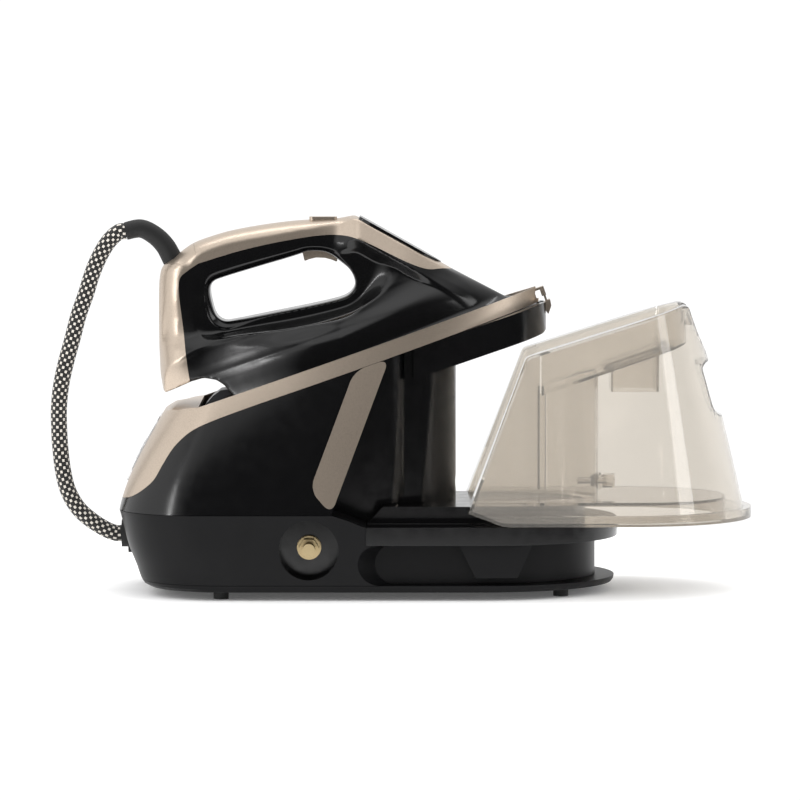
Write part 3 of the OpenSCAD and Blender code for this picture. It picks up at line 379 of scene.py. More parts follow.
def shade(piece, smooth=30.0):
    """Smooth shading, with edges sharper than this many degrees kept sharp."""
    piece.data.polygons.foreach_set("use_smooth", [True] * len(piece.data.polygons))
    piece.data.set_sharp_from_angle(angle=radians(smooth))
    return piece


def loft(rings, smooth=30.0):
    """Closed solid through rings of equal point count, capped at both ends."""
    n, m = len(rings[0]), len(rings)
    faces = [list(range(n)), list(range((m - 1) * n, m * n))]
    for k in range(m - 1):
        for i in range(n):
            a, b = k * n + i, k * n + (i + 1) % n
            faces.append([a, b, b + n, a + n])
    return solid([p for ring in rings for p in ring], faces, smooth)


def prism_side(outline, y0=-BIG / 2, y1=BIG / 2):
    """Outline in the x-z plane, drawn out across the part."""
    return loft([[(x, y, z) for x, z in outline] for y in (y0, y1)])


def prism_up(outline, z0, z1):
    """Outline seen from above, drawn out upwards."""
    return loft([[(x, y, z) for x, y in outline] for z in (z0, z1)])


def rectangle(low, high):
    return [(low[0], low[1]), (high[0], low[1]), (high[0], high[1]), (low[0], high[1])]


def block(low, high):
    return prism_up(rectangle(low, high), low[2], high[2])


def rest_block(low, high):
    """Block in the rest's own frame."""
    return loft([[rest_point(u, y, v) for u, y in rectangle(low, high)] for v in (low[2], high[2])])


def circle(middle, radius, across, other, sides):
    """Ring of points round the middle, from the direction across towards the other."""
    return [tuple(middle + radius * (cos(a) * across + sin(a) * other))
            for a in (2 * pi * k / sides for k in range(sides))]


def rod(start, end, radius, sides=48):
    a, b = Vector(start), Vector(end)
    axis = (b - a).normalized()
    across = axis.orthogonal().normalized()
    return loft([circle(p, radius, across, axis.cross(across), sides) for p in (a, b)])


def drop(*pieces):
    for piece in pieces:
        mesh = piece.data
        bpy.data.objects.remove(piece)
        bpy.data.meshes.remove(mesh)


def settled(piece, smooth=30.0):
    """Applies the modifiers of a piece."""
    graph = bpy.context.evaluated_depsgraph_get()
    mesh = bpy.data.meshes.new_from_object(piece.evaluated_get(graph))
    old = piece.data
    piece.modifiers.clear()
    piece.data = mesh
    bpy.data.meshes.remove(old)
    mesh.name = piece.name
    return shade(piece, smooth)


def carve(piece, operation, *tools, keep=False):
    """Boolean of a piece with each tool in turn; the tools are dropped unless kept."""
    for tool in tools:
        step = piece.modifiers.new("carve", "BOOLEAN")
        step.operation, step.solver, step.object = operation, "MANIFOLD", tool
        settled(piece)
    if not keep:
        drop(*tools)
    return piece


def copy_of(piece):
    return in_scene(piece.name, piece.data.copy())


def eased(piece, rounds):
    """Smooths a finely divided piece this many times."""
    ease = piece.modifiers.new("ease", "SMOOTH")
    ease.factor, ease.iterations = 0.5, rounds
    return settled(piece, 50)


def soften(piece, voxel, rounds):
    """Rounds all edges of a closed piece, as a mould's radii do."""
    step = piece.modifiers.new("remesh", "REMESH")
    step.mode, step.voxel_size = "VOXEL", voxel / MM
    return eased(piece, rounds)


def round_edges(piece, width, angle=35.0, segments=2):
    """Small moulded radius on sharp edges."""
    step = piece.modifiers.new("radius", "BEVEL")
    step.width, step.segments = width / MM, segments
    step.limit_method, step.angle_limit = "ANGLE", radians(angle)
    step.harden_normals = True
    return piece


def half_plan(x0, x1, hw, rr, nose, p, q):
    """Half of a plan: a rear corner of radius rr, a straight side, and a nose of powers p and q."""
    corner, tip = 14, 40
    out = [(x0, (hw - rr) * k / 4) for k in range(4)]
    out += [(x0 + rr * (1 - cos(a)), hw - rr + rr * sin(a))
            for a in (pi / 2 * k / corner for k in range(corner + 1))]
    straight = x1 - nose - x0 - rr
    out += [(x0 + rr + straight * k / 8, hw) for k in range(1, 8)]
    for k in range(tip + 1):
        t = sin(pi / 2 * k / tip)
        out.append((x1 - nose + nose * t, hw * max(0.0, 1 - t ** p) ** (1 / q)))
    return out


def plan(x0, x1, hw, rr, nose, p=2.2, q=2.0):
    """The whole plan, from its half and the mirrored half."""
    half = half_plan(x0, x1, hw, rr, nose, p, q)
    return half + [(x, -y) for x, y in reversed(half[1:-1])]


# ---- placing pieces
FINISH = {}


def placed(piece, name, body, finish, *replaced):
    """Gives a piece its name, material and body, and hides the CAD nodes that it stands for."""
    piece.name = piece.data.name = name
    piece.data.materials.clear()
    piece.data.materials.append(FINISH[finish])
    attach(piece, body)
    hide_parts(*replaced)
    return piece


def front_x(z):
    """Front edge of the housing at a height."""
    return FRONT_X + LEAN * (z - SEAM_Z - 2.2)


# ---- casings of the base
def upper_form(inset=0.0):
    """The housing's form from the seam up to the rest; inset makes the form of its inner walls."""
    rings = []
    for k in range(33):
        t = lerp(-0.05, 1.13, k / 32)
        swell = 5 * t * (1 - t)
        outline = plan(lerp(BASE_X0, BASE_X0 + 31.6, t) - 4 * swell + inset, lerp(60, RIM_X1, t) - inset,
                       lerp(BASE_HW, RIM_HW, t) + 1.6 * swell - inset, lerp(BASE_RR, 45, t) - inset,
                       lerp(150, 203, t), lerp(2.2, 1.9, t), lerp(1.6, 1.3, t))
        rings.append([(x, y, lerp(SEAM_Z, tray_z(x), t)) for x, y in outline])
    return loft(rings, 35)


# Line between the black housing and the pale rim, and the rim's top line
RIM_EDGE = [(-262, 76), (-250, 77), (-245, 78.2), (-240, 80.2), (-232.5, 85), (-223, 93.5), (-215.6, 106),
            (-208, 118), (-198.8, 127.6), (-189.6, 134), (-177, 139.7), (-162, 145.4)]
RIM_EDGE += [(x, tray_z(x) - RIM_H) for x in (-139, -80, 0, 98)]
RIM_TOP = [(98, tray_z(98)), (79, tray_z(79)), (-187, tray_z(-187)), (-190, 149.6), (-202, 149.3),
           (-208, 147.8), (-214, 145), (-220, 141.5), (-262, 119)]
BUTTON_AT, BUTTON_HOLE_R = [(-4, -14), (-4, 14)], 8.5
LENS_LOW, LENS_HIGH = Vector((-247, 88.7)), Vector((-219.4, 141.5))
LENS_MID, LENS_UP = (LENS_LOW + LENS_HIGH) / 2, (LENS_HIGH - LENS_LOW).normalized()
LENS_HW_LOW, LENS_HW_HIGH, LENS_RR, LENS_REACH = 38, 31, 11, 20


def panel_prism(grow=0.0):
    """The lens outline, square to the sloping panel."""
    half = (LENS_HIGH - LENS_LOW).length / 2
    low, high = -half - grow, half - 2 + grow
    outline = rounded_outline([(low, -LENS_HW_LOW - grow), (high, -LENS_HW_HIGH - grow),
                               (high, LENS_HW_HIGH + grow), (low, LENS_HW_LOW + grow)], LENS_RR)
    return loft([[(LENS_MID[0] + a * LENS_UP[0] + depth * -LENS_UP[1], b,
                   LENS_MID[1] + a * LENS_UP[1] + depth * LENS_UP[0]) for a, b in outline]
                 for depth in (-LENS_REACH, LENS_REACH)])


def panel_rod(u, y, radius):
    """Round bar square to the sloping panel, u up the panel from its middle."""
    foot = LENS_MID + u * LENS_UP
    dx, dz = LENS_REACH * LENS_UP[1], LENS_REACH * LENS_UP[0]
    return rod((foot[0] + dx, y, foot[1] - dz), (foot[0] - dx, y, foot[1] + dz), radius)


def make_housing():
    """The black housing with its two pale stripes, and the pale rim with the control panel's lens."""
    form = upper_form()
    edge = curve_through(RIM_EDGE, 5)
    black = prism_side([(-262, SEAM_Z + SEAM)] + [(x, z - SEAM) for x, z in edge] + [(98, SEAM_Z + SEAM)])
    ahead = prism_side([(-BIG, 0), (front_x(0), 0), (front_x(BIG), BIG), (-BIG, BIG)])
    housing = carve(copy_of(form), "INTERSECT", black, ahead)
    foot_z = SEAM_Z + 1
    heel_z = foot_z + 19

    def under_rim(shift):
        """Where a line beside the front edge meets the underside of the rim."""
        slope = tan(TILT)
        z = (tray_z(0) - RIM_H - 0.3 + slope * (front_x(0) - shift)) / (1 - slope * LEAN)
        return (front_x(z) - shift, z)

    outline = rounded_outline([(front_x(foot_z), foot_z), under_rim(0), under_rim(STRIPE_W),
                               (front_x(heel_z) - STRIPE_W, heel_z)], 8)
    stripe_tool = prism_side(outline)
    stripes = upper_form(-0.35)
    carve(stripes, "INTERSECT", stripe_tool, keep=True)
    core = upper_form(2.0)
    carve(stripes, "DIFFERENCE", core, keep=True)
    groove = copy_of(stripe_tool)
    carve(groove, "DIFFERENCE", core)
    carve(housing, "DIFFERENCE", groove)
    drop(stripe_tool)
    placed(housing, "upper_housing_shell", "base", "gloss_black", "upper_housing")
    round_edges(placed(stripes, "stripes", "base", "champagne", "side_stripes"), 0.5)
    rim = carve(form, "INTERSECT", prism_side(edge + RIM_TOP))
    well = upper_form(RIM_WALL)
    trim = prism_side([(-BIG, 0), (BIG, 0), (BIG, BIG), (-188, BIG), (-188, 146.6), (-204, 144.6),
                       (-216, 138), (-BIG, 110)])
    carve(well, "INTERSECT", trim)
    notch = rest_block((200, -5.5, SOLE_TOP), (290, 5.5, 6))
    deep = rest_block((258, -5.5, -9.3), (290, 5.5, 6))
    carve(rim, "DIFFERENCE", well, panel_prism(0.8), notch, deep)
    # The rim's rear shoulder falls away to both sides, more so towards its end
    rings = []
    for x in (-270, -214, -210, -206, -202, -198, -194, -190, -188.3):
        fall = 8 * clamp((-190 - x) / 22) * clamp((-190 - x) / 22 + 0.2)
        rings.append([(x, y, 149.65 - fall * (y / 75) ** 2) for y in range(-100, 101, 10)]
                     + [(x, 100, 220), (x, -100, 220)])
    carve(rim, "DIFFERENCE", loft(rings))
    placed(rim, "rim_of_rest", "base", "champagne", "tray_rim")
    lens = carve(upper_form(-1.2), "INTERSECT", panel_prism(-0.3))
    button_holes = [panel_rod(u, y, BUTTON_HOLE_R) for u, y in BUTTON_AT]
    carve(lens, "DIFFERENCE", upper_form(2.5), *button_holes)
    round_edges(placed(lens, "panel_lens_plate", "base", "panel_clear", "panel_lens"), 0.5)


# How far the skirt draws in at each height, at the rear and at the sides
SKIRT_REAR = [(FOOT_H, 24), (FOOT_H + 3, 19), (24.5, 13), (40, 7), (60, 2), (SEAM_Z, 0)]
SKIRT_SIDES = [(FOOT_H, 6), (FOOT_H + 3, 4), (24.5, 2.5), (40, 1.5), (60, 0.5), (SEAM_Z, 0)]
# The slope between the platform and the housing's front edge
RAMP = [(GROOVE_X0 + 8, PLATFORM_Z), (GROOVE_X0 + 3, PLATFORM_Z + 1.6), (GROOVE_X0 - 5, SEAM_Z - 4.5),
        (FRONT_X, SEAM_Z - SEAM)]


def base_plan(inset, rear=0.0, sides=0.0):
    return plan(BASE_X0 + inset + rear, BASE_X1 - inset - sides, BASE_HW - inset - sides, BASE_RR - inset,
                BASE_NOSE)


def skirt_form():
    rings = []
    for k in range(25):
        z = lerp(FOOT_H, SEAM_Z, k / 24)
        outline = base_plan(0, along(SKIRT_REAR, z), along(SKIRT_SIDES, z))
        rings.append([(x, y, z) for x, y in outline])
    return loft(rings, 35)


def make_lower_body():
    """The skirt with the groove for the hose, the drain recess and the cable openings, and its plate."""
    body = skirt_form()
    top = [(RAMP[0][0], GROOVE_TOP - SEAM), RAMP[0]]
    top += curve_through([(RAMP[0][0], PLATFORM_Z + SEAM)] + RAMP[1:], 6)
    side = prism_side([(-BIG, LOWER_Z), (BIG, LOWER_Z), (BIG, GROOVE_TOP - SEAM)] + top
                      + [(-BIG, SEAM_Z - SEAM)])
    carve(body, "INTERSECT", side)
    r = (GROOVE_TOP - LOWER_Z) / 2

    def slot(shift, far):
        arc = [(GROOVE_X0 + r + shift - r * sin(a), LOWER_Z + r - r * cos(a))
               for a in (pi * k / 32 for k in range(33))]
        return arc + [(far, GROOVE_TOP), (far, LOWER_Z)]

    groove = prism_side(slot(15, BIG))
    for side_of in (-1, 1):
        rings = [[(x, side_of * y, z) for x, z in slot(shift, 0)] for y, shift in ((109, -4), (85, 15))]
        carve(groove, "UNION", loft(rings, 35))
    carve(groove, "DIFFERENCE", prism_up(base_plan(GROOVE_D), 0, 100))
    recess = rod((DRAIN_X, -BASE_HW - 5, DRAIN_Z), (DRAIN_X, -BASE_HW + DRAIN_DEPTH, DRAIN_Z), DRAIN_R, 64)
    gland = rod((-270, 0, GLAND_Z), (-215, 0, GLAND_Z), GLAND_R)
    inlet = rod((-265, INLET_Y, INLET_Z), (-215, INLET_Y, INLET_Z), INLET_R)
    carve(body, "DIFFERENCE", groove, recess, gland, inlet)
    placed(body, "lower_body_shell", "base", "satin_black", "lower_body")
    body.data.materials.append(FINISH["gloss_black"])
    for face in body.data.polygons:
        x, y, z = MM * face.center
        in_recess = 1 < y + BASE_HW < DRAIN_DEPTH + 0.5
        if in_recess and hypot(x - DRAIN_X, z - DRAIN_Z) < DRAIN_R + 0.3:
            face.material_index = 1
    plate = skirt_form()
    carve(plate, "INTERSECT", block((-BIG, -BIG, FOOT_H), (BIG, BIG, FOOT_H + PLATE_T)))
    round_edges(placed(plate, "base_plate_shell", "base", "satin_black", "base_plate"), 0.8)


def make_platform():
    """The platform that carries the tank, with its raised deck and the ramp up to it."""
    form = prism_up(base_plan(0, 0, 1), GROOVE_TOP, PLATFORM_Z)
    carve(form, "INTERSECT", block((GROOVE_X0 + 8.2, -BIG, 0), (BIG, BIG, 100)))
    deck = prism_up(plan(-90, DECK_X1, DECK_HW, 10, 80, 2.6), PLATFORM_Z - 1, PLATFORM_Z + DECK_H)
    slope = prism_side([(GROOVE_X0 + 8.2, PLATFORM_Z - 2), (GROOVE_X0 + 9, PLATFORM_Z),
                        (-44, PLATFORM_Z + DECK_H - 1.2), (-42.5, PLATFORM_Z + DECK_H),
                        (BIG, BIG / 2), (BIG, 0), (GROOVE_X0 + 8.2, 0)])
    carve(deck, "INTERSECT", slope)
    carve(form, "UNION", deck)
    round_edges(placed(form, "platform", "base", "gloss_black", "tank_platform"), 1.2, segments=3)


def column_form(z0, z1, grow=0.0, shift=0.0):
    """The round-nosed column and its wider shoulder, seen from above."""
    shoulder = half_plan(-150, SHOULDER_X1 + grow, SHOULDER_HW + grow, 5, 34, 2, 4.5)
    half = [p for p in shoulder if p[1] > COLUMN_HW + grow]
    middle, r = COLUMN_X1 - COLUMN_HW, COLUMN_HW + grow
    half += [(middle + r * sin(a), r * cos(a)) for a in (pi * k / 96 for k in range(49))]
    outline = half[:-1] + [(middle + r, 0.0)] + [(x, -y) for x, y in reversed(half[:-1])]
    return prism_up([(x + shift, y) for x, y in outline], z0, z1)


def make_column():
    """Flared foot on the shoulder, a vertical round nose, and its top under the rim."""
    deck = PLATFORM_Z + DECK_H + SEAM
    form = column_form(PLATFORM_Z, 260)
    top = tray_z(0) - RIM_H - 0.1
    side = prism_side([(-110, SEAM_Z + SEAM)] + [(x, z + 0.3) for x, z in reversed(RAMP)]
                      + [(-54.8, PLATFORM_Z + SEAM), (-44, deck - 1.2), (-42.5, deck), (100, deck),
                         (100, top + 100 * tan(TILT)), (-110, top - 110 * tan(TILT))])
    ahead = prism_side([(front_x(0) + SEAM, 0), (BIG, 0), (BIG, nose_low(BIG) - SEAM),
                        (NOSE_BACK, nose_low(NOSE_BACK) - SEAM), (NOSE_BACK, BIG),
                        (front_x(BIG) + SEAM, BIG)])
    carve(form, "INTERSECT", side, ahead)
    sweep = curve_through([(-18, 96), (-21.5, 88), (-27, 78), (-35, 70.5), (-46, 66)], 6)
    sweep += [(-46, 40), (0, 40), (0, 96)]
    for y0, y1 in ((-70, -COLUMN_HW - 0.3), (COLUMN_HW + 0.3, 70)):
        carve(form, "DIFFERENCE", prism_side(sweep, y0, y1))
    carve(form, "DIFFERENCE", rod((5, 0, SPOUT_Z), (40, 0, SPOUT_Z), 6))
    round_edges(placed(form, "column_shell", "base", "gloss_black", "column"), 0.8, segments=3)


def nose_low(x):
    """Underside of the housing under the nose of the rest."""
    return tray_z(x) - RIM_H - NOSE_DROP


def make_nose():
    """The housing under the nose of the rest, rounded at its front corners only."""
    form = prism_up(plan(-120, NOSE_X1, NOSE_HW, 10, 34, 2.4, 2), 100, 300)
    corners = [(NOSE_BACK, nose_low(NOSE_BACK)), (NOSE_X1 + 1, nose_low(NOSE_X1 + 1)),
               (NOSE_X1 + 1, tray_z(NOSE_X1) - RIM_H - 0.3), (NOSE_BACK, tray_z(NOSE_BACK) - RIM_H - 0.3)]
    front_corners = rounded_outline(corners, 5)[6:18]
    side = prism_side(corners[:1] + front_corners + corners[3:])
    carve(form, "INTERSECT", side)
    carve(form, "DIFFERENCE", rest_block((256.6, -7.5, -24.7), (400, 7.5, 20)))
    round_edges(placed(form, "nose_shell", "base", "gloss_black", "nose_housing"), 1.5, segments=3)


# ---- the iron
# Half width of the iron by height above the rest, its outline from the side, and the edges of its covers
IRON_HW = [(-8, 60), (2, 57.8), (12, 56.8), (20, 53.5), (30, 44.5), (40, 36), (55, 28), (75, 23.5),
           (100, 21), (140, 20)]
IRON_REAR = [(-218, 158), (-220.6, 173)]
IRON_TOP = curve_through([(-221.6, 195), (-221.8, 230), (-221, 250), (-217.5, 259.5), (-207, 267.5),
                          (-194, 276.6), (-178, 282.6), (-162, 287), (-139, 291.2), (-116, 294.2),
                          (-96, 295.6), (-79.5, 296.2)], 5)
IRON_TOP += [(-66, 298.8), (-62, 298), (4.8, 260.6), (11.6, 256.6), (55.4, 234)]
FINGER_HOLE = [(-180.5, 240), (-179, 230), (-175.5, 219.5), (-169, 215), (-159, 216), (-131, 221.6),
               (-101, 227.6), (-76, 233.6), (-67.5, 239), (-65, 246.5), (-68.8, 255.6), (-76.5, 262.4),
               (-84.5, 268.2), (-92, 270.6), (-102, 270.6), (-110, 268), (-122, 264.2), (-139, 259.2),
               (-171, 249.4), (-178.5, 245.6)]
HEEL_EDGE = [(-189.5, 261), (-199, 254.5), (-204, 249.5), (-205.2, 242), (-204, 228), (-202, 213),
             (-198, 181), (-194.5, 160), (-192, 145)]
COVER_EDGE = [(-189.5, 261), (-162, 269.6), (-139, 275.4), (-116, 280), (-96, 283), (-81, 283.8),
              (-67, 282.2), (-52, 276.4), (-29, 265), (-14, 258.6), (-5, 256.6), (4.8, 257), (16, 256)]


def iron_loft():
    """The iron's hull, drawn up from the sole with a nose that runs out to the tip."""
    rings = []
    for k in range(57):
        v = lerp(-8, 135, k / 56)
        s = clamp(v / 60)
        hw = along(IRON_HW, v)
        tip = lerp(238, 248, -v / 4) if v < 0 else 236 - 0.925 * v
        outline = plan(-60, tip, hw, hw - 4, lerp(186, 62, s), lerp(1.9, 2.2, s), lerp(1.35, 2, s))
        rings.append([rest_point(u, y, v) for u, y in outline])
    return loft(rings, 35)


# Radius of the finger hole's lips, and half width and section between them
FLARE, LIP_Y, GRIP_HW = 7.5, 13.5, 21.2
FINGER_CUTS = (13.5, 15, 16.6, 18, 19.4, 20.3, 20.8, 22, 34, 52)
# Swell of the flank by height above the rest
BULGE = [(2, 0), (20, 0), (30, 5), (40, 9.5), (55, 9), (65, 5.5), (80, 0)]
# Hollow that the fingers reach into, round the hole, and the crease below it
SCOOP = [(-193, 400), (-193, 240), (-197, 232), (-197.5, 222), (-195.5, 212), (-191, 205.5), (-183, 201.4),
         (-170, 202.2), (-157, 204.8), (-137, 207.4), (-117, 210.2), (-93, 215.6), (-69, 223), (-54, 231),
         (-40.4, 240.6), (-31, 249.5), (-26, 257), (0, 400)]
CREASE = [(-230, 192), (-197, 193), (-150, 194), (-117, 196), (-77, 200.5), (-57, 210), (-40, 218.5),
          (-22.8, 227.7), (10.8, 245.3), (40, 258)]


def depth_inside(x, z, outline):
    """Distance of points from a closed outline: positive inside it and negative outside."""
    near, inside = np.full(len(x), 1e9), np.zeros(len(x), bool)
    for (ax, az), (bx, bz) in zip(outline, outline[1:] + outline[:1]):
        dx, dz = bx - ax, bz - az
        t = np.clip(((x - ax) * dx + (z - az) * dz) / (dx * dx + dz * dz), 0, 1)
        near = np.minimum(near, np.hypot(x - ax - t * dx, z - az - t * dz))
        inside ^= ((az > z) != (bz > z)) & (x < ax + dx * (z - az) / (dz if dz else 1e-9))
    return np.where(inside, near, -near)


# Where along x each change of the flank begins, and the run over which it comes in
SWELL_IN, SWELL_OUT, TAIL_IN, CREASE_OUT = (-188, 60), (-90, 90), (-218, 120), (-60, 90)
HOOD_IN, HOOD_OUT, SCOOP_CRISP = (-84, 24), (-30, 64), (-30, -30)
HANDLE_OUT, TOP_ROUND_IN = (-80, 22), (-222, 20)
CREASE_DEPTH, SCOOP_START, SCOOP_POWER = 3.2, 0.42, 2.1
HOOD_HW, HOOD_SLOPE, HOOD_DEPTH, HOOD_UNDERCUT = 18.5, 0.64, 17, 0.7
HANDLE_HW, HANDLE_ROUND, FRONT_HW, FRONT_ROUND, ROUND_DEPTH = 21.5, 13, 18.2, 0.9, 34
REAR_EDGE = [(158, -218), (173, -220.6), (195, -221.6), (230, -221.8), (250, -221), (259.5, -217.5)]
REAR_ROUND, REAR_REACH = 20, 46


def value_at(table, x):
    """Values of a table of (x, value) pairs, straight between them."""
    return np.interp(x, [p[0] for p in table], [p[1] for p in table])


def unit(t):
    return np.clip(t, 0, 1)


def ease_in(t):
    t = unit(t)
    return t * t * (3 - 2 * t)


def turned_down(t):
    """Fall of a quarter turn from 0 at its crown to 1 at its side."""
    return 1 - np.sqrt(1 - unit(t) ** 2)


def fade(x, start, run):
    """Eases from 0 at start to 1 after the run; a negative run goes the other way."""
    return ease_in((x - start) / run)


def sculpt_iron(piece):
    """Shapes both flanks: swell, tail, crease, finger hollow, hood under the panel, round rear and top."""
    mesh = piece.data
    flat = np.empty(3 * len(mesh.vertices))
    mesh.vertices.foreach_get("co", flat)
    x, y, z = (MM * flat.reshape(-1, 3)).T
    scoop = SCOOP[:1] + curve_through(SCOOP[1:-1], 4) + SCOOP[-1:]
    reach = depth_inside(x, z, scoop)
    away = np.maximum(0.0, -depth_inside(x, z, curve_through(FINGER_HOLE, 5, closed=True)))
    v = (z - RIM_Z) * cos(TILT) - (x - RIM_X) * sin(TILT)
    half, top, over = value_at(IRON_HW, v), value_at(IRON_TOP, x), z - value_at(CREASE, x)
    # Swell above the sole, and a tail that is drawn in
    side = np.abs(y)
    side = side * (1 + value_at(BULGE, v) / half * fade(x, *SWELL_IN) * (1 - fade(x, *SWELL_OUT)))
    tail = np.minimum(half, 33 + 0.06 * np.clip(v - 20, 0, 60)) / half
    side = side * (tail + (1 - tail) * fade(x, *TAIL_IN))
    # Crease along the flank, and the hollow round the finger hole, crisp at the rear and soft at the front
    pressed = fade(over, 0, 15) * (1 - fade(over, 15, 30)) * fade(side, 12, 8)
    narrow = side - CREASE_DEPTH * (1 - fade(x, *CREASE_OUT)) * pressed
    share = unit((away / (away + np.maximum(reach, 0.01)) - SCOOP_START) / (1 - SCOOP_START))
    crisp = fade(x, *SCOOP_CRISP)
    share = crisp * share ** SCOOP_POWER + (1 - crisp) * ease_in(share)
    narrow = narrow - (reach > 0) * (1 - share) * np.maximum(0.0, narrow - GRIP_HW)
    # Hood that slopes out from under the top panel
    hooded = (1 - fade(x, *HOOD_OUT)) * fade(x, *HOOD_IN)
    flank = (HOOD_HW + HOOD_SLOPE * np.minimum(top - z, HOOD_DEPTH)
             - HOOD_UNDERCUT * np.maximum(0.0, top - z - HOOD_DEPTH))
    narrow = narrow + hooded * unit((top - z) / 2) * np.maximum(0.0, flank - narrow) * (side > 4)
    # Round rear, and a round top to the handle
    behind = (1 - unit((x - value_at(REAR_EDGE, z)) / REAR_REACH)) ** 2
    round_rear = REAR_ROUND * turned_down(side / (half + 0.5)) * behind
    handle = 1 - fade(x, *HANDLE_OUT)
    handle_drop = HANDLE_ROUND * turned_down(side / HANDLE_HW)
    front_drop = FRONT_ROUND * np.maximum(0.0, side - FRONT_HW)
    drop_by = handle * handle_drop + (1 - handle) * (1 - hooded) * front_drop
    z = z - drop_by * (1 - unit((top - z) / ROUND_DEPTH)) ** 2 * fade(x, *TOP_ROUND_IN)
    x, y = x + round_rear, np.sign(y) * narrow
    mesh.vertices.foreach_set("co", (np.stack([x, y, z], 1) / MM).ravel())
    mesh.update()
    return eased(piece, 3)


def grown(outline, by):
    """Outline moved outwards by a distance, for smooth closed outlines listed either way."""
    n = len(outline)
    area = sum(a[0] * b[1] - b[0] * a[1] for a, b in zip(outline, outline[1:] + outline[:1]))
    sign = 1 if area > 0 else -1
    out = []
    for i in range(n):
        a, b = Vector(outline[i - 1]), Vector(outline[(i + 1) % n])
        d = (b - a).normalized()
        out.append((outline[i][0] + sign * d[1] * by, outline[i][1] - sign * d[0] * by))
    return out


def make_iron():
    """The moulded body with its through hole, cut into the black shell and the two pale covers."""
    body = iron_loft()
    tail = [rest_point(250, 0, -10)[::2], rest_point(8, 0, -10)[::2], rest_point(3, 0, 3)[::2],
            (-167.8, 165.2), (-174.8, 169.6), (-185.2, 170.9), (-196, 167.8)]
    side = prism_side(IRON_REAR + IRON_TOP + [rest_point(248, 0, -1)[::2]] + tail)
    carve(body, "INTERSECT", side)
    hole = curve_through(FINGER_HOLE, 5, closed=True)
    rings = []
    for y in [-y for y in reversed(FINGER_CUTS)] + list(FINGER_CUTS):
        into_lip = min(0.97 * FLARE, max(0.0, abs(y) - LIP_Y))
        flare = FLARE - sqrt(FLARE ** 2 - into_lip ** 2) + 0.4 * max(0.0, abs(y) - 22)
        rings.append([(x, y, z) for x, z in grown(hole, flare)])
    carve(body, "DIFFERENCE", loft(rings))
    sculpt_iron(soften(body, 1.15, 7))
    carve(body, "INTERSECT", rest_block((-300, -BIG, SOLE_TOP + 0.1), (300, BIG, 400)))
    heel_tool = prism_side(curve_through(HEEL_EDGE, 5) + [(-250, 140), (-250, 320), (-197.5, 320),
                                                          (-194, 277)])
    cover_tool = prism_side(curve_through(COVER_EDGE, 5) + [(24, 256), (24, 330), (-197.5, 330),
                                                            (-193.8, 277)])
    heel = carve(copy_of(body), "INTERSECT", heel_tool, keep=True)
    cover = carve(copy_of(body), "INTERSECT", cover_tool, keep=True)
    shell = carve(body, "DIFFERENCE", heel_tool, cover_tool)
    slot = prism_side([(-121.3, 277.5), (-121.3, 262), (-76.3, 254), (-76.3, 280), (-115, 280)], -8.5, 8.5)
    carve(shell, "DIFFERENCE", slot)
    round_edges(placed(shell, "iron_body", "iron", "gloss_black", "iron_shell"), 0.5, 55)
    round_edges(placed(heel, "heel_cover_shell", "iron", "champagne", "heel_cover"), 0.6, 55)
    round_edges(placed(cover, "handle_cover_shell", "iron", "champagne", "handle_cover"), 0.6, 55)


# ---- the water tank
def tank_form(inset=0.0):
    """The tank's form, a little higher than its sloping top; inset makes the form of its inner walls."""
    def top(x):
        return 184 + tan(radians(19.6)) * (x + 38.2)

    rings = []
    base = TANK_Z + FLANGE_H
    for k in range(25):
        t = lerp(-0.06, 1, k / 24)
        outline = plan(lerp(-108, -116, t) + inset, lerp(138.2, 93.5, t) - inset,
                       lerp(TANK_HW, TANK_TOP_HW, t) - inset, 20 - inset, lerp(110, 62, t),
                       lerp(2.2, 2.5, t))
        rings.append([(x + TANK_X, y, lerp(base, top(x) + 14, t)) for x, y in outline])
    return loft(rings, 35)


def shifted(points):
    """Points given for the tank at home, moved to where it stands half drawn."""
    return [(x + TANK_X, z) for x, z in points]


def tank_cuts(inset):
    """Tools for the column's notch, the trough under the rest, the deck's tunnel and the grip."""
    notch = column_form(0, 400, NOTCH_GAP + inset, TANK_X)
    below = -inset - 8
    nose = plan(-150, NOSE_X1 + SLIDE + inset, NOSE_HW + SLIDE + 0.5 + inset, 10, 30, 2.5, 2)
    trough = prism_up(shifted(nose), 0, 500)
    shelf = [(-BIG, nose_low(-BIG) + below), (BIG, nose_low(BIG) + below), (BIG, BIG), (-BIG, BIG)]
    carve(trough, "INTERSECT", prism_side(shifted(shelf)))
    deck = plan(-160, DECK_X1 + SLIDE + inset, DECK_HW + SLIDE + inset, 10, 80, 2.6)
    tunnel = prism_up(shifted(deck), 0, PLATFORM_Z + DECK_H + 1 + inset)
    hold = rounded_outline([(110.2, 184), (102.6, 180.4), (112.6, 145), (119.6, 138.6),
                            (160, 138.6), (160, 184)], 5)
    grip = prism_side(shifted(grown(hold, inset)), -44 - inset, 44 + inset)
    over_ramp = [(x, z + 0.8 + inset) for x, z in RAMP]
    ramp = prism_side(shifted([(-52, 53), (-52, TANK_Z + inset)] + over_ramp
                              + [(-200, SEAM_Z + 0.8 + inset), (-200, 53)]))
    lip = block((TANK_X + 60, -10 - inset, 214 - inset),
                (TANK_X + NOSE_X1 + SLIDE + 7.5 + inset, 10 + inset, 400))
    return notch, trough, tunnel, grip, ramp, lip


def tank_outline(inset=0.0):
    """The tank from the side: front edge, sloping top, and the step down to the grip."""
    corners = [(front_x(TANK_Z), TANK_Z), (front_x(188), 188), (front_x(188) + 2.5, 189.8), (88, 228.4),
               (92.5, 227), (94.5, 221), (99.6, 207), (110.2, 184), (150, 184), (150, TANK_Z)]
    return shifted(grown(rounded_outline(corners, 1.5), -inset))


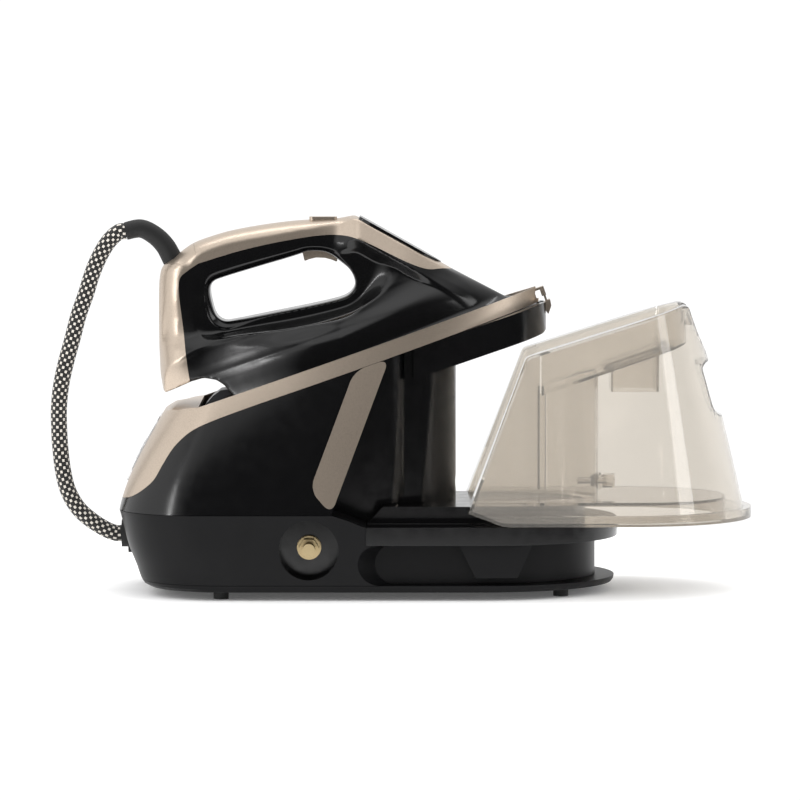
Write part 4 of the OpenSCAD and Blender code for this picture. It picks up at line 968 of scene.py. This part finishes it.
def make_tank():
    """The hollow tank with its flange, cut clear of the base, open for the filler and the spout."""
    shell = carve(tank_form(), "INTERSECT", prism_side(tank_outline()))
    edge = plan(-110, BASE_X1 - SLIDE, TANK_HW + 4.5, 20, 110)
    flange = prism_up(shifted(edge), TANK_Z, TANK_Z + FLANGE_H)
    foot = [(front_x(TANK_Z), TANK_Z), (BIG, TANK_Z), (BIG, BIG), (front_x(BIG), BIG)]
    carve(flange, "INTERSECT", prism_side(shifted(foot)))
    carve(shell, "UNION", flange)
    carve(shell, "DIFFERENCE", *tank_cuts(0.0))
    hollow = carve(tank_form(TANK_WALL), "INTERSECT", prism_side(tank_outline(TANK_WALL)))
    bottom = block((-BIG, -BIG, 0), (BIG, BIG, TANK_Z + TANK_WALL))
    carve(hollow, "DIFFERENCE", *tank_cuts(TANK_WALL), bottom)
    carve(shell, "DIFFERENCE", hollow)
    filler = block((TANK_X + FILLER_X - FILLER_HL, -FILLER_HW, 100),
                   (TANK_X + FILLER_X + FILLER_HL, FILLER_HW, 300))
    spout = rod((TANK_X + NOTCH_X1 - 2, 0, SPOUT_Z), (TANK_X + NOTCH_X1 + 8, 0, SPOUT_Z), 5.4)
    carve(shell, "DIFFERENCE", filler, spout)
    round_edges(placed(shell, "tank", "tank", "smoke_clear", "tank_shell"), 0.7)


# ---- the hose
# Middle lines of the hose and of its relief, in the x-z plane
HOSE_ROUTE = [(-248, 286), (-254, 285), (-262, 277.5), (-269, 266), (-275, 252), (-280, 236), (-286, 219),
              (-291, 200), (-296, 182), (-300, 164), (-302, 146), (-302, 128), (-301, 111), (-299, 94),
              (-295, 78), (-287, 64), (-276, 54), (-265, 47), (-257, 44), (-252, 44)]
RELIEF_ROUTE = [(-206, 256), (-210, 262), (-216.5, 274), (-225, 282.6), (-236, 288), (-248, 286)]


def tube(route, radius_at):
    """Round tube in the x-z plane, with its run in millimetres along U and its girth along V."""
    sides, points = 32, [Vector(p) for p in route]
    rings, run = [], [0.0]
    for i, p in enumerate(points):
        ahead, behind = points[min(len(points) - 1, i + 1)], points[max(0, i - 1)]
        if i:
            run.append(run[-1] + (p - points[i - 1]).length)
        d = (ahead - behind).normalized()
        side = Vector((-d[2], 0, d[0]))
        rings.append(circle(p, radius_at(run[-1]), Vector((0, 1, 0)), side, sides))
    piece = loft(rings, 60)
    layer = piece.data.uv_layers.new(name="run")
    girth = 2 * pi * radius_at(run[-1] / 2)
    for face in piece.data.polygons:
        ks = [piece.data.loops[i].vertex_index % sides for i in face.loop_indices]
        wrap = max(ks) - min(ks) > sides / 2 and len(ks) == 4
        for i, k in zip(face.loop_indices, ks):
            row = piece.data.loops[i].vertex_index // sides
            layer.data[i].uv = (run[row], girth * ((k + sides if wrap and k == 0 else k) / sides))
    return piece, run[-1]


def make_hose():
    """The sleeved hose from the iron to the base, and the rubber relief where it leaves the iron."""
    route = [(x, 0, z) for x, z in curve_through(HOSE_ROUTE, 8)]
    hose, length = tube(route, lambda s: HOSE_R)
    hose.name = hose.data.name = "steam_hose_sleeve"
    hose.data.materials.append(FINISH["braid"])
    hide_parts("steam_hose")
    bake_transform(hose)
    route = [(x, 0, z) for x, z in curve_through(RELIEF_ROUTE, 12)]
    relief, _ = tube(route, lambda s: RELIEF_R - RELIEF_TAPER * s)
    placed(relief, "strain_relief_sleeve", "iron", "rubber", "strain_relief")


# ---- floor and light
def make_studio():
    """White room with dark screens in front of the object, a pale floor and four soft lamps."""
    world = bpy.data.worlds.new("studio")
    bpy.context.scene.world = world
    world.use_nodes = True
    background = world.node_tree.nodes["Background"]
    background.inputs["Color"].default_value = (1.0, 1.0, 1.0, 1.0)
    # Seen directly and for soft light the room is white; in reflections it is dark in front
    # of the object and white behind, above and to the left of it, as between black screens.
    toward = add(world, "TexCoord")
    split = add(world, "SeparateXYZ", None, {"Vector": (toward, "Generated")})
    behind, left, above = [
        add(world, "MapRange",
            {"interpolation_type": "SMOOTHSTEP", "From Min": dark, "From Max": bright, "To Min": 0.06,
             "To Max": level}, {"Value": (split, axis)})
        for axis, dark, bright, level in (("Y", -0.25, 0.55, 1.0), ("X", -0.2, -0.75, 1.1),
                                          ("Z", 0.6, 0.98, 1.35))]
    room = (behind, "Result")
    for other in (left, above):
        room = (add(world, "Math", {"operation": "MAXIMUM"}, {0: room, 1: (other, "Result")}), "Value")
    path = add(world, "LightPath")
    direct = add(world, "Math", {"operation": "MAXIMUM"},
                 {0: (path, "Is Camera Ray"), 1: (path, "Is Transmission Ray")})
    seen = add(world, "Mix", {"data_type": "FLOAT", "B": 1.08}, {"Factor": (direct, "Value"), "A": room})
    add(world, "Mix", {"data_type": "FLOAT", "B": 1.45},
        {"Factor": (path, "Is Diffuse Ray"), "A": (seen, "Result")}, {"Result": (background, "Strength")})
    radius, middle, sides = 560, Vector((-30, 0, -0.3)), 96
    edge = circle(middle, radius, Vector((1, 0, 0)), Vector((0, 1, 0)), sides)
    floor = solid(edge, [list(range(sides))])
    floor.name = "floor"
    material, _ = finish_of("painted_floor", Base_Color=srgb("FAFAFA"), Roughness=0.8,
                            Specular_IOR_Level=0.2, Emission_Color=srgb("FFFFFF"), Emission_Strength=0.08)
    floor.data.materials.append(material)
    aim = Vector((0, 0, 0.15))

    def lamp(name, place, size, power):
        data = bpy.data.lights.new(name, "AREA")
        data.shape, data.size, data.size_y, data.energy = "RECTANGLE", size[0], size[1], power
        light = in_scene(name, data)
        light.location = place
        light.rotation_mode = "QUATERNION"
        light.rotation_quaternion = (aim - Vector(place)).to_track_quat("-Z", "Y")

    lamp("key", (-0.9, -1.5, 2.0), (1.0, 1.0), 2)
    lamp("top", (0.0, 0.5, 2.2), (2.2, 0.25), 8)
    lamp("side", (2.0, -1.0, 0.9), (0.6, 1.5), 9)
    lamp("strip", (-1.75, -1.72, 0.8), (0.12, 1.6), 11)
    bpy.context.scene.view_settings.view_transform = "Standard"


# ---- the scene
# Moulded or turned radii of the pieces that are shown as they are, mm
CAD_RADII = {"hose_clip": 0.8, "drain_ring": 0.5, "drain_plug": 0.5, "power_button": 0.4,
             "mode_button": 0.4, "steam_button": 0.5, "steam_trigger": 0.7, "iron_latch": 0.3,
             "top_panel": 0.4, "filler_flap": 0.4, "filler_well": 0.3, "tank_spout": 0.3, "heel_hook": 0.6,
             "soleplate": 0.4, "feet": 0.5}
aim_camera()
FINISH.update(make_finishes())
slots = {part["node"]: part["material_slot"] for part in frame["record"]["subparts"]}
# As clear as the tank that holds them, and a latch in the rim's colour
slots.update({"tank_spout": "smoke_clear", "tank_filter": "smoke_clear", "iron_latch": "champagne"})
for node, piece in frame["nodes"].items():
    for place in piece.material_slots:
        place.material = FINISH[slots[node]]
for node, radius in CAD_RADII.items():
    round_edges(frame["nodes"][node], radius)
make_hose()
make_housing()
make_lower_body()
make_platform()
make_column()
make_nose()
make_iron()
make_tank()
make_studio()
